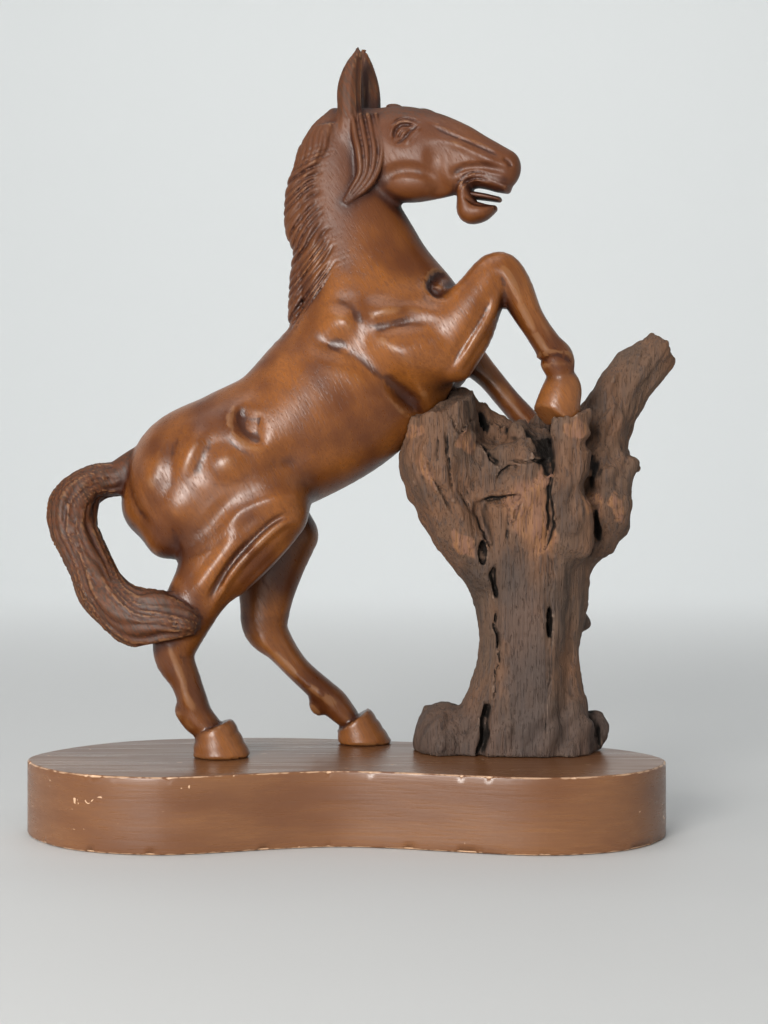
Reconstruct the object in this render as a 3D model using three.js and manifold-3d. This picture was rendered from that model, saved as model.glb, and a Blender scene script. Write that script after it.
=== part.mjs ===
// A carved wooden horse that rears over a rough tree stump, on a waisted oval plinth.
//
// Millimetres, +Z up. The horse faces +X and its near side faces -Y. The origin is the centre of
// the plinth's underside. The horse and the stump are carved freely, so each is written as a
// distance field, a run of oval sections melted together and cut with gouges, which is then
// turned into one closed skin of triangles.

import * as THREE from 'three';
import { mergeVertices } from 'three/addons/utils/BufferGeometryUtils.js';
import Module from 'manifold-3d';

// Driving dimensions
const PLINTH_LENGTH = 315;
const PLINTH_DEPTH = 126;
const PLINTH_HEIGHT = 36;
const FIGURE_SETBACK = 18; // the carving stands behind the middle of the plinth
const JOINT_GAP = 0.3; // glue line between the pieces
const HORSE_CELL = 2.4; // sampling step of the horse before thinning
const HORSE_TRIANGLES = 6400;
const STUMP_CELL = 3;
const STUMP_TRIANGLES = 2800;

const LACQUERED_WOOD = { color: 0x8a4f22, roughness: 0.35, metalness: 0 };
const WEATHERED_WOOD = { color: 0x5a4334, roughness: 0.85, metalness: 0 };
const PLINTH_WOOD = { color: 0x7a4f31, roughness: 0.45, metalness: 0 };

// Sculpting tools: every shape is a function of x, y, z that gives a distance in mm, negative inside

const ACROSS = new THREE.Vector3(0, 1, 0);
const FAR = 16; // a shape this far off has no say in the blend, so its box distance will do

function boxDistance(box, x, y, z) {
  const dx = Math.max(box.min.x - x, 0, x - box.max.x);
  const dy = Math.max(box.min.y - y, 0, y - box.max.y);
  const dz = Math.max(box.min.z - z, 0, z - box.max.z);
  return Math.hypot(dx, dy, dz);
}

// Distance to an ellipsoid with half-sizes a, b, c, from a point in its own axes.
function ovalDistance(u, v, w, a, b, c) {
  const inside = Math.hypot(u / a, v / b, w / c);
  const slope = Math.hypot(u / (a * a), v / (b * b), w / (c * c));
  return slope < 1e-9 ? -Math.min(a, b, c) : (inside * (inside - 1)) / slope;
}

// A limb runs through stations [x, y, z, depth, width]: depth is the half-size in the side view
// and width the half-size across the figure. Relief adds carving in the limb's own terms: how far
// along (0 to 1), then the place in the section by depth and by width (-1 to 1).
function limb(stations, { stepsPerStation = 4, relief = null } = {}) {
  const places = stations.map(([x, y, z]) => new THREE.Vector3(x, y, z));
  const halfSizes = stations.map(([, , , depth, width]) => new THREE.Vector3(depth, width, 0));
  const line = new THREE.CatmullRomCurve3(places);
  const sizes = new THREE.CatmullRomCurve3(halfSizes);
  const count = (stations.length - 1) * stepsPerStation;
  const box = new THREE.Box3();
  const pieces = [];
  for (let i = 0; i < count; i++) {
    const from = line.getPoint(i / count);
    const to = line.getPoint((i + 1) / count);
    const sizeFrom = sizes.getPoint(i / count);
    const sizeTo = sizes.getPoint((i + 1) / count);
    const run = to.clone().sub(from);
    const along = run.clone().normalize();
    const across = ACROSS.clone().addScaledVector(along, -ACROSS.dot(along)).normalize();
    const up = across.clone().cross(along);
    pieces.push({ from, run, along, across, up, sizeFrom, sizeTo, lengthSq: run.lengthSq() });
    const reach = Math.max(sizeFrom.x, sizeFrom.y, sizeTo.x, sizeTo.y);
    box.union(new THREE.Box3().setFromPoints([from, to]).expandByScalar(reach));
  }
  return (x, y, z) => {
    const off = boxDistance(box, x, y, z);
    if (off > FAR) return off;
    let best = Infinity;
    let bestAlong = 0;
    let bestUp = 0;
    let bestAcross = 0;
    for (let i = 0; i < count; i++) {
      const { from, run, along, across, up, sizeFrom, sizeTo, lengthSq } = pieces[i];
      const px = x - from.x;
      const py = y - from.y;
      const pz = z - from.z;
      const t = Math.min(1, Math.max(0, (px * run.x + py * run.y + pz * run.z) / lengthSq));
      const qx = px - t * run.x;
      const qy = py - t * run.y;
      const qz = pz - t * run.z;
      const depth = sizeFrom.x + (sizeTo.x - sizeFrom.x) * t;
      const width = sizeFrom.y + (sizeTo.y - sizeFrom.y) * t;
      const u = qx * up.x + qy * up.y + qz * up.z;
      const v = qx * across.x + qy * across.y + qz * across.z;
      const w = qx * along.x + qy * along.y + qz * along.z;
      const d = ovalDistance(u, v, w, depth, width, Math.min(depth, width));
      if (d < best) {
        best = d;
        bestAlong = (i + t) / count;
        bestUp = u / depth;
        bestAcross = v / width;
      }
    }
    return relief ? best - relief(bestAlong, bestUp, bestAcross) : best;
  };
}

// An ellipsoid: half-sizes along its length, across the figure and through its depth. Pitch turns
// its length up from +X in the side view, in degrees.
function oval([cx, cy, cz], [length, width, depth], pitch = 0) {
  const c = Math.cos(THREE.MathUtils.degToRad(pitch));
  const s = Math.sin(THREE.MathUtils.degToRad(pitch));
  return (x, y, z) => {
    const px = x - cx;
    const pz = z - cz;
    return ovalDistance(px * c + pz * s, y - cy, pz * c - px * s, length, width, depth);
  };
}

// Two distances melted together over a seam of the given breadth.
function melt(a, b, seam) {
  const h = Math.max(seam - Math.abs(a - b), 0) / seam;
  return Math.min(a, b) - (h * h * seam) / 4;
}

// A gouge taken out of a shape, with its edges eased over the given breadth.
function gouge(a, cut, ease) {
  return -melt(-a, cut, ease);
}

// A flat cut through a point: how far a place is past it, on the side that it faces.
function slice([px, py, pz], facing) {
  const out = new THREE.Vector3(...facing).normalize();
  return (x, y, z) => (x - px) * out.x + (y - py) * out.y + (z - pz) * out.z;
}

// A rounded ridge and sharp valley wave, from -1 to 0.
function furrows(turns) {
  return Math.abs(Math.sin(Math.PI * turns)) - 1;
}

// Carving drawn in the side view. Each tool gives how far the wood stands out (or is cut in, where
// the height is negative) at a place x, z of that view.

// The nearest place on a line through [x, z] points: the distance to it, positive on the left of
// its run, and how far along it that place is, from 0 to 1.
function drawnLine(points) {
  const corners = points.map(([x, z]) => new THREE.Vector2(x, z));
  const line = new THREE.SplineCurve(corners).getPoints(5 * (points.length - 1));
  return (x, z) => {
    let nearest = Infinity;
    let side = 1;
    let along = 0;
    for (let i = 0; i < line.length - 1; i++) {
      const runX = line[i + 1].x - line[i].x;
      const runZ = line[i + 1].y - line[i].y;
      const offX = x - line[i].x;
      const offZ = z - line[i].y;
      const share = (offX * runX + offZ * runZ) / (runX * runX + runZ * runZ);
      const t = THREE.MathUtils.clamp(share, 0, 1);
      const distance = Math.hypot(offX - t * runX, offZ - t * runZ);
      if (distance < nearest) {
        nearest = distance;
        side = runX * offZ - runZ * offX < 0 ? -1 : 1;
        along = (i + t) / (line.length - 1);
      }
    }
    return [side * nearest, along];
  };
}

// A line cut in the wood, with its own breadth and height on the left and on the right of its run.
// It dies out at both ends. Ease is half the width over which one side passes into the other.
const LINE_EASE = 1;
const LINE_END = 0.25; // share of the line over which it dies out

function crease(points, [leftBreadth, leftHeight], [rightBreadth, rightHeight], ease = LINE_EASE) {
  const nearest = drawnLine(points);
  const bell = (off, breadth) => (1 - THREE.MathUtils.clamp(off / breadth, 0, 1) ** 2) ** 2;
  return (x, z) => {
    const [off, along] = nearest(x, z);
    const left = leftHeight * bell(off, leftBreadth);
    const right = rightHeight * bell(-off, rightBreadth);
    const share = THREE.MathUtils.smoothstep(off, -ease, ease);
    const fade = THREE.MathUtils.smoothstep(Math.min(along, 1 - along), 0, LINE_END);
    return THREE.MathUtils.lerp(right, left, share) * fade;
  };
}

// A soft swelling, or a hollow, with the given half-sizes. Pitch turns its length up from +X.
function mound([cx, cz], [length, depth], pitch, height) {
  const c = Math.cos(THREE.MathUtils.degToRad(pitch));
  const s = Math.sin(THREE.MathUtils.degToRad(pitch));
  return (x, z) => {
    const u = ((x - cx) * c + (z - cz) * s) / length;
    const v = ((z - cz) * c - (x - cx) * s) / depth;
    const rise = Math.max(0, 1 - u * u - v * v);
    return height * rise * rise;
  };
}

const NEAR = -1;
const FAR_SIDE = 1;
const BOTH = 0;

// Puts carving on a shape's near side, far side or both. The first few millimetres beside the
// middle plane stay bare.
function carvedSides(shape, cuts, bare = 4, fade = 8) {
  const CUT_REACH = 8;
  return (x, y, z) => {
    const d = shape(x, y, z);
    if (Math.abs(d) > CUT_REACH) return d;
    let relief = 0;
    for (const [side, cut] of cuts) {
      const out = side === BOTH ? Math.abs(y) : side * y;
      const share = THREE.MathUtils.smoothstep(out, bare, bare + fade);
      if (share > 0) relief += share * cut(x, z);
    }
    return d - relief;
  };
}

// The skin of a shape: each cell of a grid is split in six four-cornered blocks around its long
// diagonal, and the surface is cut through every block that it crosses.
const BLOCKS = [
  [0, 1, 3, 7],
  [0, 3, 2, 7],
  [0, 2, 6, 7],
  [0, 6, 4, 7],
  [0, 4, 5, 7],
  [0, 5, 1, 7],
];
const EVEN_ORDERS = [
  [0, 1, 2, 3],
  [1, 0, 3, 2],
  [2, 3, 0, 1],
  [3, 2, 1, 0],
];
const PAIR_ORDERS = [
  [0, 1, 2, 3],
  [0, 2, 3, 1],
  [0, 3, 1, 2],
  [1, 2, 0, 3],
  [1, 3, 2, 0],
  [2, 3, 0, 1],
];

function skinOf(shape, box, cell) {
  const size = box.getSize(new THREE.Vector3());
  const nx = Math.ceil(size.x / cell) + 1;
  const ny = Math.ceil(size.y / cell) + 1;
  const nz = Math.ceil(size.z / cell) + 1;
  const pointAt = (n) => {
    const row = Math.floor(n / nx);
    const step = new THREE.Vector3(n % nx, row % ny, Math.floor(row / ny));
    return step.multiplyScalar(cell).add(box.min);
  };
  const field = new Float32Array(nx * ny * nz);
  for (let n = 0; n < field.length; n++) {
    const p = pointAt(n);
    field[n] = shape(p.x, p.y, p.z);
  }

  const vertices = [];
  const triangles = [];
  const crossings = new Map();
  const crossing = (a, b) => {
    const key = Math.min(a, b) * field.length + Math.max(a, b);
    if (!crossings.has(key)) {
      crossings.set(key, vertices.length);
      vertices.push(pointAt(a).lerp(pointAt(b), field[a] / (field[a] - field[b])));
    }
    return crossings.get(key);
  };
  const cutBlock = (corners) => {
    const inside = corners.map((n) => field[n] < 0);
    const count = inside.filter(Boolean).length;
    if (count === 1 || count === 3) {
      const alone = inside.indexOf(count === 1);
      const [p, q, r, s] = EVEN_ORDERS[alone].map((i) => corners[i]);
      const around = [crossing(p, q), crossing(p, r), crossing(p, s)];
      triangles.push(count === 1 ? around : around.reverse());
    } else if (count === 2) {
      const order = PAIR_ORDERS.find(([i, j]) => inside[i] && inside[j]);
      const [p, q, r, s] = order.map((i) => corners[i]);
      const ring = [crossing(p, r), crossing(p, s), crossing(q, s), crossing(q, r)];
      triangles.push([ring[0], ring[1], ring[2]], [ring[0], ring[2], ring[3]]);
    }
  };
  for (let k = 0; k < nz - 1; k++)
    for (let j = 0; j < ny - 1; j++)
      for (let i = 0; i < nx - 1; i++) {
        const first = (k * ny + j) * nx + i;
        const cube = [0, 1, 2, 3, 4, 5, 6, 7].map(
          (n) => first + (n & 1) + ((n >> 1) & 1) * nx + (n >> 2) * nx * ny,
        );
        const solid = field[first] < 0;
        if (cube.every((n) => field[n] < 0 === solid)) continue;
        for (const block of BLOCKS) cutBlock(block.map((n) => cube[n]));
      }
  return { vertices, triangles };
}

// Thins a skin to about the wanted number of triangles. Again and again it merges the two ends of
// the edge whose loss moves the surface least, and leaves any edge whose loss would fold or pinch it.
function thin({ vertices, triangles }, wanted) {
  const facesAt = vertices.map(() => new Set());
  triangles.forEach((corners, f) => corners.forEach((v) => facesAt[v].add(f)));
  const quadrics = vertices.map(() => new Float64Array(10));
  for (const corners of triangles) {
    const [a, b, c] = corners.map((v) => vertices[v]);
    const n = b.clone().sub(a).cross(c.clone().sub(a));
    const area = n.length();
    if (!area) continue;
    n.divideScalar(area);
    const { x, y, z } = n;
    const d = -n.dot(a);
    const plane = [x * x, x * y, x * z, x * d, y * y, y * z, y * d, z * z, z * d, d * d];
    for (const v of corners) plane.forEach((term, i) => (quadrics[v][i] += term * area));
  }

  const moved = (q, { x, y, z }) => {
    const byX = x * (q[0] * x + 2 * (q[1] * y + q[2] * z + q[3]));
    const byY = y * (q[4] * y + 2 * (q[5] * z + q[6]));
    const byZ = z * (q[7] * z + 2 * q[8]);
    return byX + byY + byZ + q[9];
  };

  const FLATNESS = 1e-3; // below this the faces around an edge are too flat to fix one best place
  const MIDDLE_PULL = 1e-4; // keeps points evenly spaced where the surface is flat

  // The best single place for both ends of an edge, and how far the surface moves for it.
  const mergeOf = (a, b) => {
    const q = quadrics[a].map((term, i) => term + quadrics[b][i]);
    const middle = vertices[a].clone().add(vertices[b]).multiplyScalar(0.5);
    const places = [middle, vertices[a], vertices[b]];
    const system = new THREE.Matrix3().set(q[0], q[1], q[2], q[1], q[4], q[5], q[2], q[5], q[7]);
    const scale = Math.max(q[0], q[4], q[7]);
    if (Math.abs(system.determinant()) > FLATNESS * scale ** 3) {
      const flattest = new THREE.Vector3(-q[3], -q[6], -q[8]).applyMatrix3(system.invert());
      if (flattest.distanceTo(middle) < vertices[a].distanceTo(vertices[b])) places.push(flattest);
    }
    const costs = places.map((p) => moved(q, p) + MIDDLE_PULL * p.distanceToSquared(middle));
    const best = costs.indexOf(Math.min(...costs));
    return { place: places[best].clone(), cost: costs[best] };
  };

  const neighbours = (v) => {
    const found = new Set();
    for (const f of facesAt[v]) triangles[f].forEach((w) => w !== v && found.add(w));
    return found;
  };

  const edges = []; // a binary heap, cheapest first
  const sink = (i) => {
    for (;;) {
      const left = 2 * i + 1;
      const right = left + 1;
      let least = i;
      if (left < edges.length && edges[left].cost < edges[least].cost) least = left;
      if (right < edges.length && edges[right].cost < edges[least].cost) least = right;
      if (least === i) return;
      [edges[i], edges[least]] = [edges[least], edges[i]];
      i = least;
    }
  };
  const push = (edge) => {
    let i = edges.push(edge) - 1;
    while (i > 0 && edges[(i - 1) >> 1].cost > edges[i].cost) {
      const up = (i - 1) >> 1;
      [edges[i], edges[up]] = [edges[up], edges[i]];
      i = up;
    }
  };
  const pop = () => {
    const first = edges[0];
    const last = edges.pop();
    if (edges.length) {
      edges[0] = last;
      sink(0);
    }
    return first;
  };

  const version = new Int32Array(vertices.length);
  const offer = (a, b) => push({ a, b, ...mergeOf(a, b), stamp: version[a] + version[b] });
  vertices.forEach((_, v) => neighbours(v).forEach((w) => v < w && offer(v, w)));

  const SLIVER = 1e-3; // doubled area, mm2, below which a triangle has no sure direction
  const FOLD = 0.3; // cosine of the turn at which a triangle counts as folded over
  const foldsOver = (v, other, place) => {
    for (const f of facesAt[v]) {
      if (triangles[f].includes(other)) continue;
      const now = triangles[f].map((w) => vertices[w]);
      const then = triangles[f].map((w) => (w === v ? place : vertices[w]));
      const [before, after] = [now, then].map(([p, q, r]) => q.clone().sub(p).cross(r.clone().sub(p)));
      if (before.length() < SLIVER) continue;
      if (before.normalize().dot(after.normalize()) < FOLD) return true;
    }
    return false;
  };

  let left = triangles.length;
  while (left > wanted && edges.length) {
    const { a, b, place, stamp } = pop();
    if (!facesAt[a].size || !facesAt[b].size || stamp !== version[a] + version[b]) continue;
    const aroundB = neighbours(b);
    const shared = [...neighbours(a)].filter((v) => aroundB.has(v));
    if (shared.length !== 2 || foldsOver(a, b, place) || foldsOver(b, a, place)) continue;
    vertices[a] = place;
    quadrics[a].forEach((_, i) => (quadrics[a][i] += quadrics[b][i]));
    for (const f of facesAt[b]) {
      if (triangles[f].includes(a)) {
        triangles[f].forEach((v) => facesAt[v].delete(f));
        triangles[f] = null;
        left--;
      } else {
        triangles[f][triangles[f].indexOf(b)] = a;
        facesAt[a].add(f);
      }
    }
    facesAt[b].clear();
    version[a]++;
    for (const v of neighbours(a)) offer(a, v);
  }
  return { vertices, triangles: triangles.filter(Boolean) };
}

// A closed mesh geometry from a skin, with the vertices that no triangle uses left out.
function geometryOf({ vertices, triangles }) {
  const place = new Map();
  const index = triangles.flat().map((v) => {
    if (!place.has(v)) place.set(v, place.size);
    return place.get(v);
  });
  const positions = [...place.keys()].flatMap((v) => vertices[v].toArray());
  const geometry = new THREE.BufferGeometry();
  geometry.setAttribute('position', new THREE.Float32BufferAttribute(positions, 3));
  geometry.setIndex(index);
  geometry.computeVertexNormals();
  return geometry;
}

// Horse. Its frame has z = 0 on the plinth's top and y = 0 in the middle of the figure.

function trunkOfHorse() {
  const NECK_SEAM = 14;
  const MUSCLE_SEAM = 10;
  const barrel = limb([
    [-96, 0, 126, 19, 20],
    [-79, 0, 136, 36, 29],
    [-56, 0, 150, 35, 33],
    [-31, 0, 161, 37, 34],
    [-4, 0, 182, 42, 32],
    [21, 0, 207, 40, 27],
    [40, 0, 226, 25, 18],
  ]);
  const thigh = oval([-62, 14, 138], [42, 20, 35], 30);
  const buttock = oval([-86, 12, 122], [14, 15, 24], -20);
  const shoulder = oval([28, 17, 205], [34, 14, 24], 30);
  return (x, y, z) => {
    const out = Math.abs(y);
    const muscles = Math.min(thigh(x, out, z), buttock(x, out, z), shoulder(x, out, z));
    return melt(melt(barrel(x, y, z), neck(x, y, z), NECK_SEAM), muscles, MUSCLE_SEAM);
  };
}

const neck = limb([
  [17, 0, 219, 38, 26],
  [9.5, 0, 243, 34, 22],
  [3, 0, 264, 29, 18],
  [-2, -1, 281, 24, 15],
  [-3, -2, 299, 21, 13],
  [2, -2, 314, 15, 12],
]);

const ARM_EDGE = [
  [7, 203],
  [16, 212],
  [28, 215.5],
  [41, 214],
  [52, 207],
  [58, 196],
];
const GIRTH_FURROW = [
  [-18, 213],
  [-4, 205],
  [8, 198.5],
  [22, 188],
  [36, 172],
];
const BODY_CARVING = [
  // Shoulder: a knob at its top with a pit above it, the spine of the blade, and the upper arm
  [BOTH, mound([-5, 215], [12, 11], 60, 2.6)],
  [BOTH, mound([0.5, 225], [11, 8], -30, -1)],
  [BOTH, mound([7.5, 214], [7, 13], 10, -1.6)],
  [BOTH, mound([18, 221], [14, 9], -10, 2.2)],
  [BOTH, mound([34, 220], [18, 7], -5, 1.4)],
  [BOTH, crease(ARM_EDGE, [7, -1.8], [6, -1.4], 3)],
  [BOTH, mound([36, 199], [28, 16], 0, 5.4)],
  // Broad furrow behind the shoulder, deepest at the girth
  [BOTH, crease(GIRTH_FURROW, [13, -3.6], [12, -3.6], 4)],
  [BOTH, mound([30, 180], [17, 8], -43, -4.5)],
  // Scooped hollow between the breast and the foreleg
  [BOTH, crease([[54, 244], [44, 241], [40.5, 234], [46, 227.5], [60, 228]], [7, -3.6], [4, 1])],
  // Hip bone: a crescent with a hollow in front of it
  [BOTH, crease([[-51, 178], [-54.5, 169], [-53, 162], [-46, 156], [-36, 155]], [24, -2.8], [6, 1.5], 3.5)],
  // Muscles of the croup: three soft swellings with dips between them, and the crest behind them
  [BOTH, mound([-93, 142], [20, 10], 72, 2.4)],
  [BOTH, mound([-85, 148], [21, 10], 68, -1.6)],
  [BOTH, mound([-77, 151], [18, 9], 62, 2.4)],
  [BOTH, mound([-68, 148], [16, 10], 55, -1)],
  [BOTH, mound([-59.5, 146], [15, 11], -10, 2.2)],
  [BOTH, crease([[-90, 168], [-98, 156], [-100.5, 143], [-95, 129]], [6, 0.8], [7, 0.8], 2)],
  [BOTH, crease([[-106, 158], [-109, 145], [-104, 128], [-92, 112]], [6, 0.7], [5, -0.9], 2)],
  [BOTH, mound([-84, 122], [16, 14], 0, 2)],
  [BOTH, mound([-66, 112], [9, 26], -35, -2.4)],
  // Hollow of the flank
  [BOTH, mound([-30, 148], [18, 10], 30, -2)],
];

const nearForeleg = limb([
  [47, -22, 203, 20, 12],
  [57, -24, 214, 17, 12],
  [66, -25, 228, 13, 11],
  [76, -25, 240, 11, 10],
  [82.5, -25, 234, 9.5, 9.5],
  [91.5, -24, 218, 6.9, 8],
  [100.5, -22, 205, 7, 8],
  [105.2, -20, 198, 8.6, 8.5],
  [107, -19, 190.5, 6.2, 7.5],
]);
const farForeleg = limb([
  [46, 20, 198, 18, 11],
  [61, 24, 204, 10, 9],
  [72, 24, 195.5, 6.8, 8],
  [84, 24, 181.5, 6.2, 8],
  [96, 24, 168, 6.6, 8],
  [101, 24, 162, 5.8, 8],
  [106, 24, 156, 6.4, 8],
]);
const nearHindLeg = limb([
  [-34, -21, 122, 15, 13],
  [-53, -22, 104, 18, 13],
  [-70, -22, 86, 15, 12],
  [-81, -22, 67, 13, 10.5],
  [-85.5, -21, 51, 10, 9],
  [-79.8, -21, 38, 7.4, 8.5],
  [-76, -21, 27, 7.2, 8.5],
  [-74.5, -21, 20.5, 8, 8.5],
  [-68, -21, 14, 6.5, 8],
]);
const farHindLeg = limb([
  [-28, 22, 110, 12.6, 12],
  [-41, 24, 89, 15.8, 12],
  [-43.5, 24, 73, 13.4, 11],
  [-43.5, 24, 61, 11.5, 10],
  [-36, 24, 51, 8, 9],
  [-26.5, 24, 39.5, 6.4, 8.5],
  [-13, 24, 27, 6.8, 8.5],
  [-7.5, 24, 21.5, 7.4, 8.5],
  [-0.5, 24, 14, 6, 8],
]);
const nearErgot = oval([-81, -21, 22.5], [4.5, 5, 3.4], -50);
const farErgot = oval([-16.5, 24, 19.5], [5, 5, 3.4], -60);

const STIFLE_HOOD = [
  [-64, 106],
  [-54, 121.5],
  [-36, 129.5],
  [-25, 131],
  [-19, 126],
];
const THIGH_GROOVE = [
  [-20, 122],
  [-33, 118.5],
  [-46.5, 107],
  [-57, 95],
  [-63, 85],
  [-70, 72],
];
const THIGH_CORD = [
  [-22, 119],
  [-30, 116.5],
  [-42, 106.5],
  [-54, 93.5],
  [-62, 82],
  [-68, 72],
];
const FOREARM_EDGE = [
  [74, 244],
  [79.6, 238],
  [90, 215.5],
  [98.7, 201.6],
  [107, 198],
];
const LEG_CARVING = [
  // Near thigh: the hood over the stifle, a groove under it and a round cord down to the hock
  [NEAR, crease(STIFLE_HOOD, [7, 1.2], [9, 2.2], 2)],
  [NEAR, crease(THIGH_GROOVE, [3.4, -2], [3.4, -2], 1.2)],
  [NEAR, crease(THIGH_CORD, [3.6, 1.8], [4.5, 1.8], 1.2)],
  [NEAR, crease([[-18, 114], [-33, 98], [-50, 81], [-62, 66]], [6, -1.2], [4, 1])],
  [NEAR, crease([[-48, 115], [-58, 103], [-68, 90], [-76, 78]], [7, 1.6], [6, 1.6], 2)],
  // Arrises down the shins and the edges of the forearm
  [NEAR, crease([[-90, 64], [-84.3, 50.5], [-80.5, 40], [-78, 30], [-72, 22]], [3.6, 1.2], [3.6, 1.2])],
  [FAR_SIDE, crease([[-48, 60], [-41, 50.5], [-20.7, 31.7], [-4, 20]], [3.6, 1.2], [3.6, 1.2])],
  [NEAR, crease(FOREARM_EDGE, [3.6, 1.3], [3.6, 1.3])],
  [NEAR, crease([[75, 232], [72.6, 221], [62, 203], [50.8, 185.9]], [3.6, 1.4], [3.6, 1.4])],
  [NEAR, crease([[70, 228], [66, 218], [56, 202], [46, 187]], [4, -1], [4, -1])],
  [NEAR, crease([[92, 197.5], [101, 199.5], [107.4, 199.9], [114, 196]], [2.6, 1.2], [4, -1.6])],
];

// The raised hoof has its sole and toe cut flat, the far fore hoof its sole, and the hind hooves
// their tops.
function hoovesOfHorse() {
  const raised = limb([
    [107.6, -18, 189.5, 6.6, 8],
    [108, -18, 183.5, 9.6, 9.5],
    [106.4, -18, 177, 10.8, 10.5],
    [104, -18, 162, 13.5, 11],
  ]);
  const raisedSole = slice([99, -18, 171], [-0.55, -0.3, -0.78]);
  const raisedToe = slice([104, -18, 166], [0, 0, -1]);
  const farFore = limb([
    [103.5, 24, 159, 7.4, 8.8],
    [110.5, 24, 150, 10.5, 10.5],
    [115, 24, 144, 11.5, 11],
  ]);
  const farForeSole = slice([110, 24, 150.5], [0.6, 0, -0.8]);
  const near = limb([
    [-66.5, -21, 22, 7.6, 9.5],
    [-61, -21, -6, 16, 13],
  ]);
  const nearTop = slice([-65, -21, 15.8], [-0.36, 0, 0.93]);
  const far = limb([
    [1, 24, 20, 8, 9.5],
    [10.5, 24, -6, 15, 12.5],
  ]);
  const farTop = slice([3.8, 24, 13.5], [-0.56, 0, 0.83]);
  return (x, y, z) =>
    Math.min(
      Math.max(raised(x, y, z), raisedSole(x, y, z), raisedToe(x, y, z)),
      Math.max(farFore(x, y, z), farForeSole(x, y, z)),
      Math.max(near(x, y, z), nearTop(x, y, z)),
      Math.max(far(x, y, z), farTop(x, y, z)),
    );
}

const HEAD_PIVOT = { x: 2, y: -2 };
const HEAD_TURN = THREE.MathUtils.degToRad(15); // towards the near side

// Head, in its own frame: straight along +X before it is turned about the poll.
const HEAD_CARVING = [
  // Eye: a ball between its lids, in a shallow socket
  [BOTH, mound([32, 311], [10, 9], -20, -1.6)],
  [BOTH, mound([32.6, 311.6], [5, 4], -25, 2)],
  [BOTH, crease([[26.6, 307], [27.4, 314.4], [31.6, 317], [41, 314.8]], [2, 1.2], [2, 1.2], 0.8)],
  [BOTH, crease([[41.6, 313.7], [37.4, 309.7], [33.4, 304.4]], [2.4, 1], [2.4, 1], 0.8)],
  // Cheek: the jaw muscle below its furrow, and the hollow in front of it
  [BOTH, mound([36, 284], [17, 8], 0, 1.7)],
  [BOTH, crease([[18, 289], [30.6, 293], [39.8, 292.2], [49, 288]], [4.5, -1.7], [5, -1.7], 2)],
  [BOTH, crease([[49.5, 307], [48, 295], [49, 286], [51.5, 276]], [7, -2], [7, -2], 3)],
  [BOTH, mound([57, 296], [9, 10], 30, -1)],
  // Muzzle: the crest of the face, the band over the lip and the nostril
  [BOTH, crease([[48, 309], [62.2, 303.2], [71.2, 298.6], [82, 292.6]], [3.4, 1.2], [4, 1.2], 1)],
  [BOTH, crease([[54, 288], [60, 291.8], [66.2, 293], [76.2, 292], [90, 287]], [3, -1.4], [3, -1.4], 1)],
  [BOTH, mound([83.5, 294.6], [3.4, 2.4], -50, -1.6)],
];

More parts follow.
